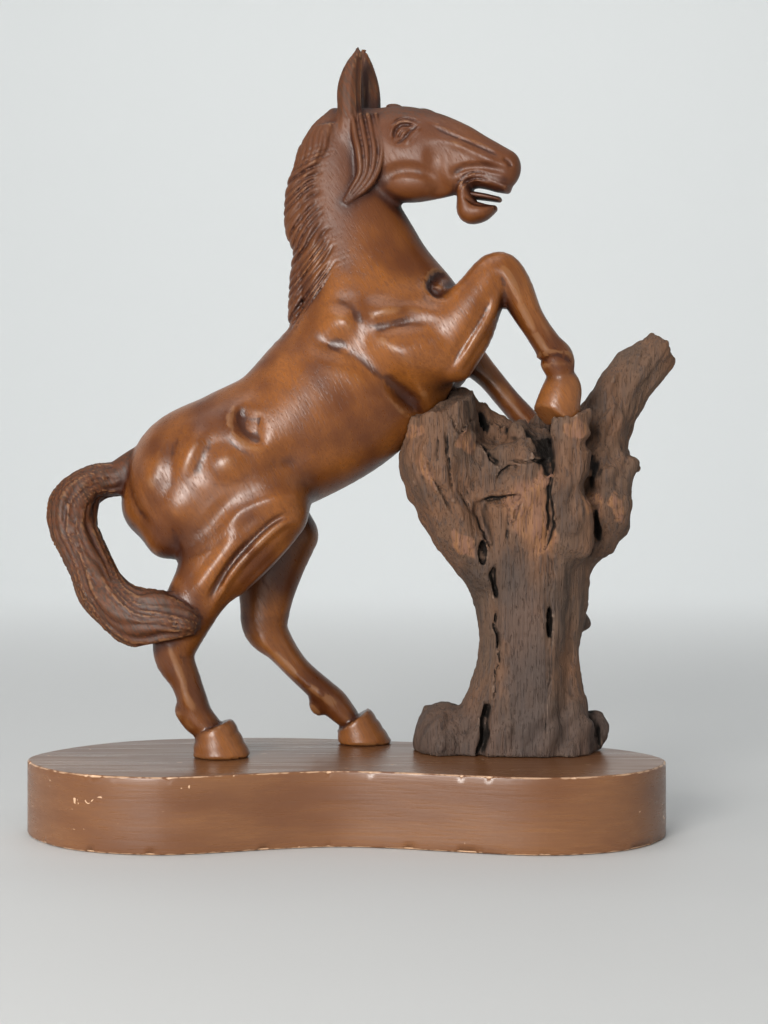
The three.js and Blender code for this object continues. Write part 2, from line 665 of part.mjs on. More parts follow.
function headOfHorse() {
  const EAR_SEAM = 3;
  const LIP_SEAM = 2;
  const MOUTH_SEAM = 1.2;
  const BROW_SEAM = 2;
  const CUP_EASE = 1;
  const skull = limb([
    [3, 0, 315, 13, 13],
    [16, 0, 307.5, 21, 14],
    [28, 0, 303.5, 24, 15],
    [43.6, 0, 301.2, 22, 13.5],
    [58, 0, 299, 17.5, 11.5],
    [68.3, 0, 297, 13, 10],
    [74.5, 0, 294.8, 11.4, 9.6],
    [80, 0, 292.3, 10.6, 9.2],
  ]);
  const jaw = limb([
    [61, 0, 285, 4, 8.5],
    [61.8, 0, 279, 4.6, 8],
    [63.6, 0, 272.8, 6, 7.5],
    [69, 0, 271.8, 4.8, 7],
    [73.5, 0, 272.6, 2.8, 5.5],
    [76, 0, 273.4, 1.6, 4.5],
  ]);
  const lip = limb([
    [66, 0, 288.5, 2.6, 8],
    [75, 0, 286, 3, 8.2],
    [82, 0, 283.2, 2.4, 7.2],
  ]);
  const tongue = limb([
    [61, 0, 281.5, 2, 5],
    [72, 0, 279.3, 1.7, 5],
    [78.5, 0, 277.8, 1.4, 4],
  ]);
  const nearEar = limb([
    [3.5, -9, 314, 6.5, 5],
    [4, -11, 325, 6.2, 5],
    [4, -11, 336, 6.2, 4.6],
    [6, -11, 346, 4.6, 3.6],
    [8.7, -10.5, 354.5, 1.8, 1.8],
  ]);
  const farEar = limb([
    [9, 6, 314, 6, 5],
    [9.5, 8, 327, 5.6, 5],
    [9.3, 8, 340, 5.2, 4.6],
    [7.6, 8, 351, 3.7, 3.4],
    [6, 7.5, 359, 1.8, 1.8],
  ]);
  const nearCup = limb([
    [10.5, -13, 320, 1.5, 2],
    [10.5, -13.5, 336, 2.4, 2.6],
    [9.6, -12.5, 350, 0.8, 1.2],
  ]);
  const farCup = limb([
    [5, 4, 322, 1.5, 2],
    [4.8, 3.5, 340, 1.8, 2.4],
    [5, 4.5, 356, 0.8, 1.2],
  ]);
  const farBrows = [oval([23, 6, 328.4], [5, 4, 2.4], -8), oval([40, 8, 325], [6, 4, 2.4], -20)];
  const bones = (x, y, z) => {
    const mouth = Math.min(jaw(x, y, z), tongue(x, y, z));
    return melt(melt(skull(x, y, z), lip(x, y, z), LIP_SEAM), mouth, MOUTH_SEAM);
  };
  const face = carvedSides(bones, HEAD_CARVING, 1, 6);
  const c = Math.cos(HEAD_TURN);
  const s = Math.sin(HEAD_TURN);
  return (x, y, z) => {
    const px = x - HEAD_PIVOT.x;
    const py = y - HEAD_PIVOT.y;
    const hx = px * c - py * s + HEAD_PIVOT.x;
    const hy = px * s + py * c + HEAD_PIVOT.y;
    const brows = Math.min(...farBrows.map((brow) => brow(hx, hy, z)));
    const ears = Math.min(
      gouge(nearEar(hx, hy, z), nearCup(hx, hy, z), CUP_EASE),
      gouge(farEar(hx, hy, z), farCup(hx, hy, z), CUP_EASE),
    );
    return melt(melt(face(hx, hy, z), brows, BROW_SEAM), ears, EAR_SEAM);
  };
}

// The mane lies in a sheet on the neck, between an inner and an outer edge in the side view: each
// row holds a height and the x of both edges there.
const MANE_EDGES = [
  [214, -5.1, -28.5],
  [222, -5.1, -30.1],
  [234, -5.1, -29.6],
  [247, -5.1, -28.8],
  [256, -6.6, -27.3],
  [265, -8.8, -31],
  [273, -11.2, -31.7],
  [283, -13.2, -31.7],
  [289, -14, -30.5],
  [300, -9.6, -24],
  [305, -5.9, -22.5],
  [311, -3.6, -21.4],
  [322, -1, -14],
];
const MANE_TOP = 318;
const MANE_LENGTH = 70.6; // height over which the locks leave the neck
const MANE_DROP = 35.4; // how far the lowest lock hangs below its root
const LOCK_CURVE = 1.4; // how much a lock bends down as it leaves the neck
const MANE_LOCKS = 11;
const MANE_BREADTH = 18;
const MANE_THICKNESS = 3.4;
const LOCK_DEPTH = 1.6;

// Where a place lies in the mane: how far down its lock starts, and how far across it is, both
// from 0 to 1.
function spotInMane(x, z) {
  const last = MANE_EDGES.length - 1;
  const above = MANE_EDGES.findIndex(([height]) => height > z);
  const row = THREE.MathUtils.clamp(above < 0 ? last : above, 1, last);
  const [lowZ, lowInner, lowOuter] = MANE_EDGES[row - 1];
  const [highZ, highInner, highOuter] = MANE_EDGES[row];
  const share = THREE.MathUtils.clamp((z - lowZ) / (highZ - lowZ), 0, 1);
  const inner = THREE.MathUtils.lerp(lowInner, highInner, share);
  const outer = THREE.MathUtils.lerp(lowOuter, highOuter, share);
  const across = (inner - x) / (inner - outer);
  const hang = THREE.MathUtils.clamp(across, 0, 1) ** LOCK_CURVE;
  return [(MANE_TOP - z) / (MANE_LENGTH + MANE_DROP * hang), across];
}

function maneOfHorse() {
  const crest = limb([
    [-6, -2, 323, 5, 6],
    [-12.5, -2, 311, 9, 9],
    [-16.8, -1, 300, 7.6, 10],
    [-21.5, -1, 289, 9, 11],
    [-22.3, 0, 279, 9.8, 11.5],
    [-20.8, 0, 267, 11, 12],
    [-18, 0, 256, 9.4, 12],
    [-18, 0, 246, 11, 12],
    [-21.7, 0, 234, 8.2, 11],
    [-25.8, 0, 222, 4.5, 8],
    [-27.3, 0, 215, 2, 5],
  ]);
  const SUNK = 0.6; // depth of the sheet's edge under the skin of the neck
  const INNER_EDGE = -0.3;
  const OUTER_EDGE = 1.3;
  const TIPS = 1.04;
  const FULL = 0.5; // share of the breadth over which the sheet thickens
  return (x, y, z) => {
    const [start, across] = spotInMane(x, z);
    const thickness = MANE_THICKNESS * THREE.MathUtils.smoothstep(across, 0, FULL) - SUNK;
    const sheet = Math.max(
      neck(x, y, z) - thickness,
      (start - TIPS) * MANE_LENGTH,
      (across - OUTER_EDGE) * MANE_BREADTH,
      (INNER_EDGE - across) * MANE_BREADTH,
      z - MANE_TOP,
    );
    return Math.min(crest(x, y, z), sheet);
  };
}

// How deep the lines between the locks are cut. They begin on the neck, die out at the outer edge and
// leave the poll and the lowest tips smooth.
function locksOfMane(x, z) {
  const { smoothstep } = THREE.MathUtils;
  const OUTER_SHARE = 0.4;
  const [start, across] = spotInMane(x, z);
  const inner = smoothstep(across, -0.04, 0.3);
  const outer = THREE.MathUtils.lerp(1, OUTER_SHARE, smoothstep(across, 0.8, 1.05));
  const poll = smoothstep(start, 0.12, 0.3);
  const tips = 1 - smoothstep(start, 1, 1.07);
  return LOCK_DEPTH * furrows(start * MANE_LOCKS) * inner * outer * poll * tips;
}

// The forelock hangs in strands from the poll to a tip behind the cheek: each row holds the back and
// the front of the lock in the side view, its y and the half-size of a strand.
const FRINGE_ROWS = [
  [[3.1, 321], [15, 321], -12, 2.2],
  [[4.6, 311.5], [17, 311.5], -14.5, 2.6],
  [[6.6, 301.6], [18, 301.6], -16.5, 2.6],
  [[7.1, 291.7], [15.5, 291.7], -16, 2.4],
  [[3.1, 284.2], [10.1, 284.2], -14.5, 2.2],
  [[-0.8, 277.8], [0.6, 276.8], -14, 1.4],
];
const FRINGE_STRANDS = 3;
const FRINGE_HEIGHT = 3.6;

function fringeOfHorse() {
  const strands = [];
  for (let n = 0; n < FRINGE_STRANDS; n++) {
    const share = n / (FRINGE_STRANDS - 1);
    const stations = FRINGE_ROWS.map(([back, front, y, size]) => {
      const x = THREE.MathUtils.lerp(back[0], front[0], share);
      const z = THREE.MathUtils.lerp(back[1], front[1], share);
      return [x, y, z, size, FRINGE_HEIGHT];
    });
    strands.push(limb(stations));
  }
  return (x, y, z) => Math.min(...strands.map((strand) => strand(x, y, z)));
}

const TAIL_STRANDS = 12;
const STRAND_DEPTH = 1.5;

function tailOfHorse() {
  const twist = 1.5;
  const relief = (along, up, across) => {
    const turn = Math.atan2(up, across) / (2 * Math.PI);
    const dock = THREE.MathUtils.smoothstep(along, 0.05, 0.2);
    return STRAND_DEPTH * dock * furrows(turn * TAIL_STRANDS + along * twist);
  };
  const stations = [
    [-106, 0, 146, 9.2, 9],
    [-117, 0, 139.5, 9.2, 9],
    [-126, -1, 138, 9.7, 10],
    [-134, -3, 133, 10.7, 11],
    [-139, -5, 125, 13, 12],
    [-138, -8, 114, 12.7, 12],
    [-134, -11, 106, 12.1, 12],
    [-128, -15, 95, 12, 12],
    [-122, -20, 84, 13, 12],
    [-114, -25, 76, 13.4, 11],
    [-103, -29, 70, 15.5, 10],
    [-90, -31, 69, 15, 9],
    [-79, -31, 67.5, 10, 8],
  ];
  const locks = limb(stations, { relief });
  const end = slice([-97, -31, 57], [0.22, 0, -1]); // the hair is cut off flat beside the hock
  return (x, y, z) => Math.max(locks(x, y, z), end(x, y, z));
}

function horseShape() {
  const FORELEG_SEAM = 8;
  const HIND_LEG_SEAM = 15;
  const ERGOT_SEAM = 3;
  const HOOF_SEAM = 0.6;
  const HEAD_SEAM = 4;
  const MANE_SEAM = 1;
  const TAIL_SEAM = 2;
  const LOCK_REACH = 4;
  const trunk = carvedSides(trunkOfHorse(), BODY_CARVING);
  const forelegs = (x, y, z) => Math.min(nearForeleg(x, y, z), farForeleg(x, y, z));
  const hindLegs = (x, y, z) => {
    const legs = Math.min(nearHindLeg(x, y, z), farHindLeg(x, y, z));
    return melt(legs, Math.min(nearErgot(x, y, z), farErgot(x, y, z)), ERGOT_SEAM);
  };
  const carvedForelegs = carvedSides(forelegs, LEG_CARVING);
  const carvedHindLegs = carvedSides(hindLegs, LEG_CARVING);
  const hooves = hoovesOfHorse();
  const head = headOfHorse();
  const mane = maneOfHorse();
  const fringe = fringeOfHorse();
  const tail = tailOfHorse();
  return (x, y, z) => {
    let d = melt(trunk(x, y, z), carvedForelegs(x, y, z), FORELEG_SEAM);
    d = melt(d, carvedHindLegs(x, y, z), HIND_LEG_SEAM);
    d = melt(d, hooves(x, y, z), HOOF_SEAM);
    d = melt(d, head(x, y, z), HEAD_SEAM);
    d = melt(d, mane(x, y, z), MANE_SEAM);
    if (Math.abs(d) < LOCK_REACH) d -= locksOfMane(x, z);
    d = melt(d, fringe(x, y, z), MANE_SEAM);
    return melt(d, tail(x, y, z), TAIL_SEAM);
  };
}

// Stump. It stands in the horse's frame, and keeps clear of the horse.

const STUMP_CLEARANCE = 1.3;
const GNARL_HEIGHT = 1.6;
const FOOT_GNARL = 1.6; // how much rougher the foot is than the top

// The trunk was split into planks: its faces meet at these angles around it, in degrees from +X.
const PLANK_EDGES = [-230, -165, -126, -68, -22, 40, 84, 130, 195];
const PLANK_RADIUS = 28;
const PLANK_TWIST = 5;
const PLANK_SHARE = 0.7; // how much of the flatness is left by weathering

function plankFaces(along, up, across) {
  const { degToRad, radToDeg } = THREE.MathUtils;
  const angle = radToDeg(Math.atan2(across, up)) + PLANK_TWIST * Math.sin(along * 5 + 1);
  const next = PLANK_EDGES.findIndex((edge) => edge >= angle);
  const half = degToRad(PLANK_EDGES[next] - PLANK_EDGES[next - 1]) / 2;
  const middle = degToRad(PLANK_EDGES[next] + PLANK_EDGES[next - 1]) / 2;
  const flat = PLANK_RADIUS * (Math.cos(half) / Math.cos(degToRad(angle) - middle) - 1) + 1;
  return PLANK_SHARE * flat * THREE.MathUtils.smoothstep(along, 0.1, 0.4);
}

// Weathered lumps, a few millimetres high and a few centimetres apart, at the top and the foot.
function gnarl(x, y, z) {
  const a = Math.sin(x * 0.31 + 2 * Math.sin(z * 0.11 + 1));
  const b = Math.sin(y * 0.29 + z * 0.13 + 2 * Math.sin(x * 0.09));
  const c = Math.sin(z * 0.21 - x * 0.17 + 1.5 * Math.sin(y * 0.15 + 2));
  const upper = THREE.MathUtils.smoothstep(z, 60, 120);
  const lower = 1 - THREE.MathUtils.smoothstep(z, 10, 40);
  return ((upper + FOOT_GNARL * lower) * (a * b + b * c + c * a)) / 3;
}

const RIGHT_PLANK = [
  [103, 142],
  [102.5, 125],
  [102.5, 90],
  [101.5, 48],
  [99, 19],
  [98, -6],
];
const PATCH_EDGE = [
  [105, 149],
  [101.7, 135.4],
  [102.7, 119],
  [100.8, 105.7],
  [94, 95],
];
const STUMP_CARVING = [
  // The right plank stands proud of the middle one, and flutes run down both sides
  [NEAR, crease(RIGHT_PLANK, [12, 1.2], [5, -1.2])],
  [NEAR, crease([[58, 150], [62, 128], [70, 112], [76, 92]], [9, -2], [9, -3], 2)],
  [NEAR, crease([[111, 96], [112, 60], [110, 30], [108, -6]], [6, -1.6], [6, -1.6], 2)],
  [FAR_SIDE, crease([[80, 140], [84, 90], [80, 40], [70, -10]], [8, -4], [8, -4])],
  [FAR_SIDE, crease([[108, 130], [100, 90], [104, 40], [110, -10]], [8, -4], [8, -4])],
  // Splits, and the torn patch with its ledges
  [NEAR, crease([[64, 127], [71.5, 130.4], [77.5, 130.9], [89, 130.2]], [3, 1.5], [7, -3.6])],
  [NEAR, crease(PATCH_EDGE, [3, 0.8], [9, -1.6])],
  [NEAR, crease([[75, 97], [73.6, 90], [74.5, 84], [76.5, 78]], [2.4, -3], [2.4, -3])],
  [NEAR, crease([[76.5, 74], [75, 66], [76.5, 58], [75, 40]], [2, -2], [2, -2])],
  [NEAR, crease([[73, 30], [69.5, 16.5], [68.5, 6.6], [67, -9]], [3.4, -6], [3.4, -6])],
  // Hollows and swellings
  [NEAR, mound([68, 117], [5, 16], 14, -5)],
  [NEAR, mound([79, 152], [8, 8], 0, 2.6)],
  [NEAR, mound([122, 134], [7, 9], 0, -6)],
  [NEAR, mound([123.5, 157], [9, 5], 32, -8)],
  [NEAR, mound([126, 116], [3, 10], 0, -6)],
  [NEAR, mound([149, 195], [13, 3], 40, -3)],
  [NEAR, mound([160, 200.5], [10, 2.6], 35, -3)],
];

function stumpShape(horse) {
  const BRANCH_SEAM = 9;
  const WALL_SEAM = 4;
  const FOOT_SEAM = 5;
  const CROWN_SEAM = 4;
  const PEG_SEAM = 6;
  const KNOB_SEAM = 4;
  const HOLLOW_EASE = 3;
  const trunkStations = [
    [86, -4, -8, 42, 21],
    [90, -3, 10, 36, 21.5],
    [92, -1, 25, 31, 23.5],
    [93, 2, 51, 26.2, 26],
    [94, 4, 77, 29.8, 28],
    [91, 4, 102, 35, 29],
    [84, 4, 124, 42, 30],
    [80, 4, 138, 38, 28],
  ];
  const trunk = limb(trunkStations, { relief: plankFaces });
  const branch = limb([
    [126, 7, 120, 14, 18],
    [130, 9, 142, 15.5, 18],
    [133, 11, 166, 14.5, 15],
    [141, 12, 183, 13.6, 12],
    [150, 12, 194.5, 12.6, 11],
    [160, 12, 202.5, 11.5, 10],
  ]);
  const branchEnd = slice([167.5, 12, 205.5], [0.75, 0, 0.66]);
  const crown = limb([
    [71, 0, 92, 12, 20],
    [61, -2, 112, 16, 22],
    [51.5, -3, 132, 18, 24],
    [47.5, -3, 148, 20.5, 25],
    [47, -3, 163, 19.5, 24],
    [47, -3, 177, 18, 22],
  ]);
  const crownTop = slice([27.8, -25, 166], [-0.33, -0.24, 1]);
  const peg = limb([
    [112, -14, 108, 12, 14],
    [112, -17, 140, 10, 12],
    [111.5, -21, 160, 9.5, 10],
    [111.5, -21, 174, 9, 9],
  ]);
  const pegTop = slice([112, -21, 170.5], [-0.15, -0.1, 1]);
  const backWall = limb([
    [58, 13, 180, 6, 7],
    [72, 14, 170, 6.5, 7],
    [86, 13, 157, 8, 8],
    [96, 12, 146, 9, 9],
  ]);
  const sideGrowth = limb([
    [143, 2, 146, 6, 8],
    [137, 0, 138, 9, 10],
    [136, -2, 122, 9, 10],
    [129, 2, 107, 8, 9],
    [119, 4, 94, 5, 7],
  ]);
  const feet = [oval([49, 2, 4], [15, 22, 21]), oval([110, 2, 2], [17, 11, 17], -20)];
  const knobs = [
    sideGrowth,
    oval([144, 3, 145], [6, 6, 4], -10),
    oval([116, 6, 66], [6, 8, 10], 80),
    oval([128, 3, 12], [6.5, 7, 7]),
    oval([111, -9, 2], [13, 13, 30]),
    oval([88, -6, 160], [6, 8, 8]),
    oval([100, 12, 165], [7, 7, 7]),
  ];
  const hollow = oval([79, -12, 168], [12, 15, 15], -30);
  const nearest = (shapes, x, y, z) => Math.min(...shapes.map((shape) => shape(x, y, z)));
  const grown = (x, y, z) => {
    const bough = Math.max(branch(x, y, z), branchEnd(x, y, z));
    let d = melt(trunk(x, y, z), bough, BRANCH_SEAM);
    d = melt(d, backWall(x, y, z), WALL_SEAM);
    d = melt(d, nearest(feet, x, y, z), FOOT_SEAM);
    d = gouge(d, hollow(x, y, z), HOLLOW_EASE);
    d = melt(d, Math.max(crown(x, y, z), crownTop(x, y, z)), CROWN_SEAM);
    d = melt(d, Math.max(peg(x, y, z), pegTop(x, y, z)), PEG_SEAM);
    return melt(d, nearest(knobs, x, y, z), KNOB_SEAM);
  };
  const wood = carvedSides(grown, STUMP_CARVING, 2, 6);
  return (x, y, z) => {
    const d = wood(x, y, z) - GNARL_HEIGHT * gnarl(x, y, z);
    return Math.max(d, STUMP_CLEARANCE - horse(x, y, z));
  };
}

// Plinth: a kidney-shaped board with upright sides. Its front edge is waisted, and its back edge
// runs straight from the broad left lobe to the right end.
const PLINTH_SIDES = 120;

function plinthGeometry() {
  const edge = new THREE.CatmullRomCurve3(
    [
      [-157, -4],
      [-133, -46],
      [-88, -62],
      [-2, -45],
      [97, -63],
      [139, -47],
      [157, -10],
      [131, 28],
      [30, 48],
      [-40, 62],
      [-121, 47],
    ].map(([x, y]) => new THREE.Vector3(x, y, 0)),
    true,
  );
  const rim = edge.getPoints(PLINTH_SIDES).slice(0, PLINTH_SIDES);
  const span = new THREE.Box3().setFromPoints(rim);
  const size = span.getSize(new THREE.Vector3());
  const middle = span.getCenter(new THREE.Vector3());
  const outline = rim.map(({ x, y }) => {
    const along = ((x - middle.x) * PLINTH_LENGTH) / size.x;
    const across = ((y - middle.y) * PLINTH_DEPTH) / size.y;
    return new THREE.Vector2(along, across);
  });
  const board = { depth: PLINTH_HEIGHT, bevelEnabled: false };
  return new THREE.ExtrudeGeometry(new THREE.Shape(outline), board);
}

const wasm = await Module();
wasm.setup();

function solidOf(geometry) {
  return new wasm.Manifold(
    new wasm.Mesh({
      numProp: 3,
      vertProperties: geometry.attributes.position.array,
      triVerts: Uint32Array.from(geometry.index.array),
    }),
  );
}

// Cuts a carving off flat where it stands on the plinth.
function cutAtPlinth(geometry) {
  const WASTE = 60; // depth of what is taken off, more than either carving reaches down
  const below = new THREE.BoxGeometry(2 * PLINTH_LENGTH, 2 * PLINTH_DEPTH, WASTE);
  below.translate(0, 0, JOINT_GAP - WASTE / 2);
  below.deleteAttribute('normal');
  below.deleteAttribute('uv');
  const cut = solidOf(geometry).subtract(solidOf(mergeVertices(below)));
  const { vertProperties, triVerts } = cut.getMesh();
  const result = new THREE.BufferGeometry();
  result.setAttribute('position', new THREE.BufferAttribute(vertProperties, 3));
  result.setIndex(new THREE.BufferAttribute(triVerts, 1));
  result.computeVertexNormals();
  return result;
}

function carved(name, shape, [low, high], cell, triangles, finish) {
  const box = new THREE.Box3(new THREE.Vector3(...low), new THREE.Vector3(...high));
  const footed = (x, y, z) => Math.max(shape(x, y, z), box.min.z + cell - z);
  const skin = thin(skinOf(footed, box, cell), triangles);
  const mesh = new THREE.Mesh(cutAtPlinth(geometryOf(skin)), new THREE.MeshStandardMaterial(finish));
  mesh.name = name;
  return mesh;
}

const horse = horseShape();
const stump = stumpShape(horse);
const HORSE_BOX = [[-160, -50, -15], [130, 45, 370]];
const STUMP_BOX = [[20, -45, -15], [180, 50, 225]];

const figure = new THREE.Group();
figure.position.set(0, FIGURE_SETBACK, PLINTH_HEIGHT);
figure.add(carved('horse', horse, HORSE_BOX, HORSE_CELL, HORSE_TRIANGLES, LACQUERED_WOOD));
figure.add(carved('stump', stump, STUMP_BOX, STUMP_CELL, STUMP_TRIANGLES, WEATHERED_WOOD));

const plinth = new THREE.Mesh(plinthGeometry(), new THREE.MeshStandardMaterial(PLINTH_WOOD));
plinth.name = 'plinth';

const part = new THREE.Group();
part.add(plinth, figure);
export default part;
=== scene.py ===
"""Looks of a carved wooden horse that rears over a tree stump, on a kidney-shaped plinth."""

import math
from concurrent.futures import ThreadPoolExecutor
from itertools import product

import bmesh
import bpy
import numpy as np
import openvdb
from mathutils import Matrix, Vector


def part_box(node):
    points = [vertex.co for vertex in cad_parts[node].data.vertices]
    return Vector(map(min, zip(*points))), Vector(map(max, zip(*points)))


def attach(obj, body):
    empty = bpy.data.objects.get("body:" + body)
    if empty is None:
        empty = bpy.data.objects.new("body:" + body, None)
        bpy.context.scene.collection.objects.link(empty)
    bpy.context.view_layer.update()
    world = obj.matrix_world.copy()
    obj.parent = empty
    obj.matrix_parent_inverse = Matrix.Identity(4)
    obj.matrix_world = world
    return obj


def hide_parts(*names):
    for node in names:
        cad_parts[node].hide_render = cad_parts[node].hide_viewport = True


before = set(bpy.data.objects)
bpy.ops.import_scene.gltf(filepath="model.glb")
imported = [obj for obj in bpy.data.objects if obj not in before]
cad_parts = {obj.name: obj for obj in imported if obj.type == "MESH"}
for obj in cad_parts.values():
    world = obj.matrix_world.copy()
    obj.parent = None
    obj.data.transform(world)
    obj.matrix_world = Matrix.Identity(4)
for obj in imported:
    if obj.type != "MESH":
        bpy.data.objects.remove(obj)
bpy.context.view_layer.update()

# Camera: level with the middle of the figure and straight in front of it, as the photograph is taken.

PHOTO_HEIGHT_PX = 1024
FOCAL_LENGTH_PX = 1540
camera_data = bpy.data.cameras.new("camera")
camera_data.lens = camera_data.sensor_width * FOCAL_LENGTH_PX / PHOTO_HEIGHT_PX
camera = bpy.data.objects.new("camera", camera_data)
camera.location = (0.019, -0.770, 0.158)
camera.rotation_euler = (math.radians(90), 0, 0)
bpy.context.collection.objects.link(camera)
bpy.context.scene.camera = camera

# Plinth: a kidney-shaped board, sawn from a plank and sanded, with edges that were only just broken.
# It is stained brown and varnished, and years of knocks have left its edges pale and nicked.

MM = 0.001
PLINTH_RIM = [
    (-157, -4),
    (-133, -46),
    (-88, -62),
    (-2, -45),
    (97, -63),
    (139, -47),
    (157, -10),
    (131, 28),
    (30, 48),
    (-40, 62),
    (-121, 47),
]
PLINTH_STEPS = 720
EDGE_RADIUS = 1.1
EDGE_STEPS = 5
EDGE_BANDS = (3.0, EDGE_RADIUS * 1.4)  # insets of the rings that keep the flat faces flat
SIDE_ROWS = 10
BITE_DEPTH = 0.75
BITE_SEEDS = (3, 57)  # for the lower and the upper edge
plinth_low, plinth_high = (np.array(corner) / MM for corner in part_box("plinth"))


def rounded_run(points, steps, closed=False):
    """Points with smooth steps put in between them. Columns after the third are carried along."""
    points = np.array(points, float)
    if closed:
        points = np.vstack([points[-1], points, points[:2]])
    else:
        points = np.vstack([2 * points[0] - points[1], points, 2 * points[-1] - points[-2]])
    gaps = np.sqrt(np.linalg.norm(np.diff(points[:, :3], axis=0), axis=1))[:, None]
    run = []
    for i in range(1, len(points) - 2):
        a, b, c, d = points[i - 1 : i + 3]
        before, here, after = gaps[i - 1 : i + 2]
        leave = here * ((b - a) / before - (c - a) / (before + here) + (c - b) / here)
        arrive = here * ((c - b) / here - (d - b) / (here + after) + (d - c) / after)
        for t in np.arange(steps) / steps:
            start = (2 * t**3 - 3 * t**2 + 1) * b + (t**3 - 2 * t**2 + t) * leave
            run.append(start + (3 * t**2 - 2 * t**3) * c + (t**3 - t**2) * arrive)
    return np.array(run if closed else run + [points[-2]])


def even_steps(line, count):
    """The same closed line, walked in equal steps."""
    ring = np.vstack([line, line[:1]])
    walked = np.concatenate([[0], np.cumsum(np.linalg.norm(np.diff(ring, axis=0), axis=1))])
    stops = np.arange(count) / count * walked[-1]
    return np.column_stack([np.interp(stops, walked, column) for column in ring.T])


def ease_between(low, high, value):
    t = np.clip((value - low) / (high - low), 0, 1)
    return t * t * (3 - 2 * t)


def mottle(p):
    """Smooth random swell and dip, from -1 to 1, one lump to each unit of space."""
    base = np.floor(p).astype(np.int64)
    share = p - base
    share = share * share * (3 - 2 * share)
    total = np.zeros(len(p))
    for corner in product((0, 1), repeat=3):
        weight = np.prod(np.where(np.array(corner) == 1, share, 1 - share), axis=1)
        cell = base + np.array(corner)
        mixed = cell[:, 0] * 374761393 + cell[:, 1] * 668265263 + cell[:, 2] * 974634777
        mixed = (mixed ^ (mixed >> 13)) * 1274126177
        total += weight * (((mixed ^ (mixed >> 16)) & 0xFFFF) / 0x7FFF - 1)
    return total


def new_piece(name, points, faces, values):
    """A smooth-shaded mesh object from millimetre points, with a named value for every point."""
    mesh = bpy.data.meshes.new(name)
    mesh.from_pydata(np.asarray(points) * MM, [], faces)
    for key, value in values.items():
        mesh.attributes.new(key, "FLOAT", "POINT").data.foreach_set("value", value.astype(np.float32))
    mesh.shade_smooth()
    piece = bpy.data.objects.new(name, mesh)
    bpy.context.collection.objects.link(piece)
    return piece


def add(tree, kind, inputs=None, **settings):
    """A shader node with its settings, and its inputs set to values or linked to sockets."""
    node = tree.nodes.new("ShaderNode" + kind)
    for key, value in settings.items():
        setattr(node, key, value)
    for key, value in (inputs or {}).items():
        if isinstance(value, bpy.types.NodeSocket):
            tree.links.new(value, node.inputs[key])
        else:
            node.inputs[key].default_value = value
    return node


def mixed(tree, share, a, b, how="MIX"):
    """One colour laid over another by a share."""
    SHARE, COLOUR_A, COLOUR_B, COLOUR_OUT = 0, 6, 7, 2
    inputs = {SHARE: share, COLOUR_A: a, COLOUR_B: b}
    return add(tree, "Mix", inputs, data_type="RGBA", blend_type=how).outputs[COLOUR_OUT]


def ranged(tree, value, low, high, to_low=0.0, to_high=1.0):
    """A value eased from one range to another."""
    spans = {"From Min": low, "From Max": high, "To Min": to_low, "To Max": to_high}
    return add(tree, "MapRange", {"Value": value, **spans}, interpolation_type="SMOOTHSTEP").outputs[0]


def added(tree, a, b, how="ADD"):
    return add(tree, "Math", {0: a, 1: b}, operation=how).outputs[0]


def painted(tree, name):
    """A value that is stored with the mesh."""
    return add(tree, "Attribute", attribute_name=name).outputs["Fac"]


def scaled(tree, place, scale):
    return add(tree, "Mapping", {"Vector": place, "Scale": scale}).outputs[0]


def placed(tree, group, inputs):
    """A node group put in a material, with its inputs set or linked."""
    return add(tree, "Group", inputs, node_tree=group).outputs


def new_group(name, takes, gives):
    """A shader node group. Takes and gives name its sockets, each with its kind."""
    group = bpy.data.node_groups.new(name, "ShaderNodeTree")
    for title, kind in takes.items():
        group.interface.new_socket(title, in_out="INPUT", socket_type="NodeSocket" + kind)
    for title, kind in gives.items():
        group.interface.new_socket(title, in_out="OUTPUT", socket_type="NodeSocket" + kind)
    return group, group.nodes.new("NodeGroupInput").outputs, group.nodes.new("NodeGroupOutput").inputs


def new_finish(name):
    """A material with its node tree, its shader and the places in its piece."""
    material = bpy.data.materials.new(name)
    material.use_nodes = True
    tree = material.node_tree
    place = add(tree, "TexCoord").outputs["Object"]
    return material, tree, tree.nodes["Principled BSDF"], place


def laid(tree, tone, colour, mask, low=0, high=1, most=1):
    """A tone with a colour laid over it, eased in as a mask goes from low to high."""
    return mixed(tree, ranged(tree, mask, low, high, 0, most), tone, colour)


def surfaced(tree, shader, colour, gloss, height, strength, distance):
    """Gives a shader its colour, its roughness and a fine relief."""
    bump = add(tree, "Bump", {"Height": height, "Strength": strength, "Distance": distance})
    tree.links.new(colour, shader.inputs["Base Color"])
    tree.links.new(gloss, shader.inputs["Roughness"])
    tree.links.new(bump.outputs[0], shader.inputs["Normal"])


# Wood grain, for every piece: long streaks, short dark pores and broad clouds of tone. Place runs
# along the grain in x, with one unit to a streak's length.
wood_grain, takes, gives = new_group(
    "wood grain",
    {"Place": "Vector"},
    {"Streaks": "Float", "Pores": "Float", "Clouds": "Float"},
)
stretched = add(wood_grain, "Mapping", {"Vector": takes["Place"], "Scale": (1, 16, 16)}).outputs[0]
streaks = add(wood_grain, "TexNoise", {"Vector": stretched, "Scale": 1, "Detail": 4, "Distortion": 0.4})
wood_grain.links.new(streaks.outputs["Fac"], gives["Streaks"])
close = add(wood_grain, "Mapping", {"Vector": takes["Place"], "Scale": (7, 34, 34)}).outputs[0]
pores = add(wood_grain, "TexNoise", {"Vector": close, "Scale": 1, "Detail": 1})
wood_grain.links.new(ranged(wood_grain, pores.outputs["Fac"], 0.56, 0.72), gives["Pores"])
clouds = add(wood_grain, "TexNoise", {"Vector": takes["Place"], "Scale": 0.9, "Detail": 2})
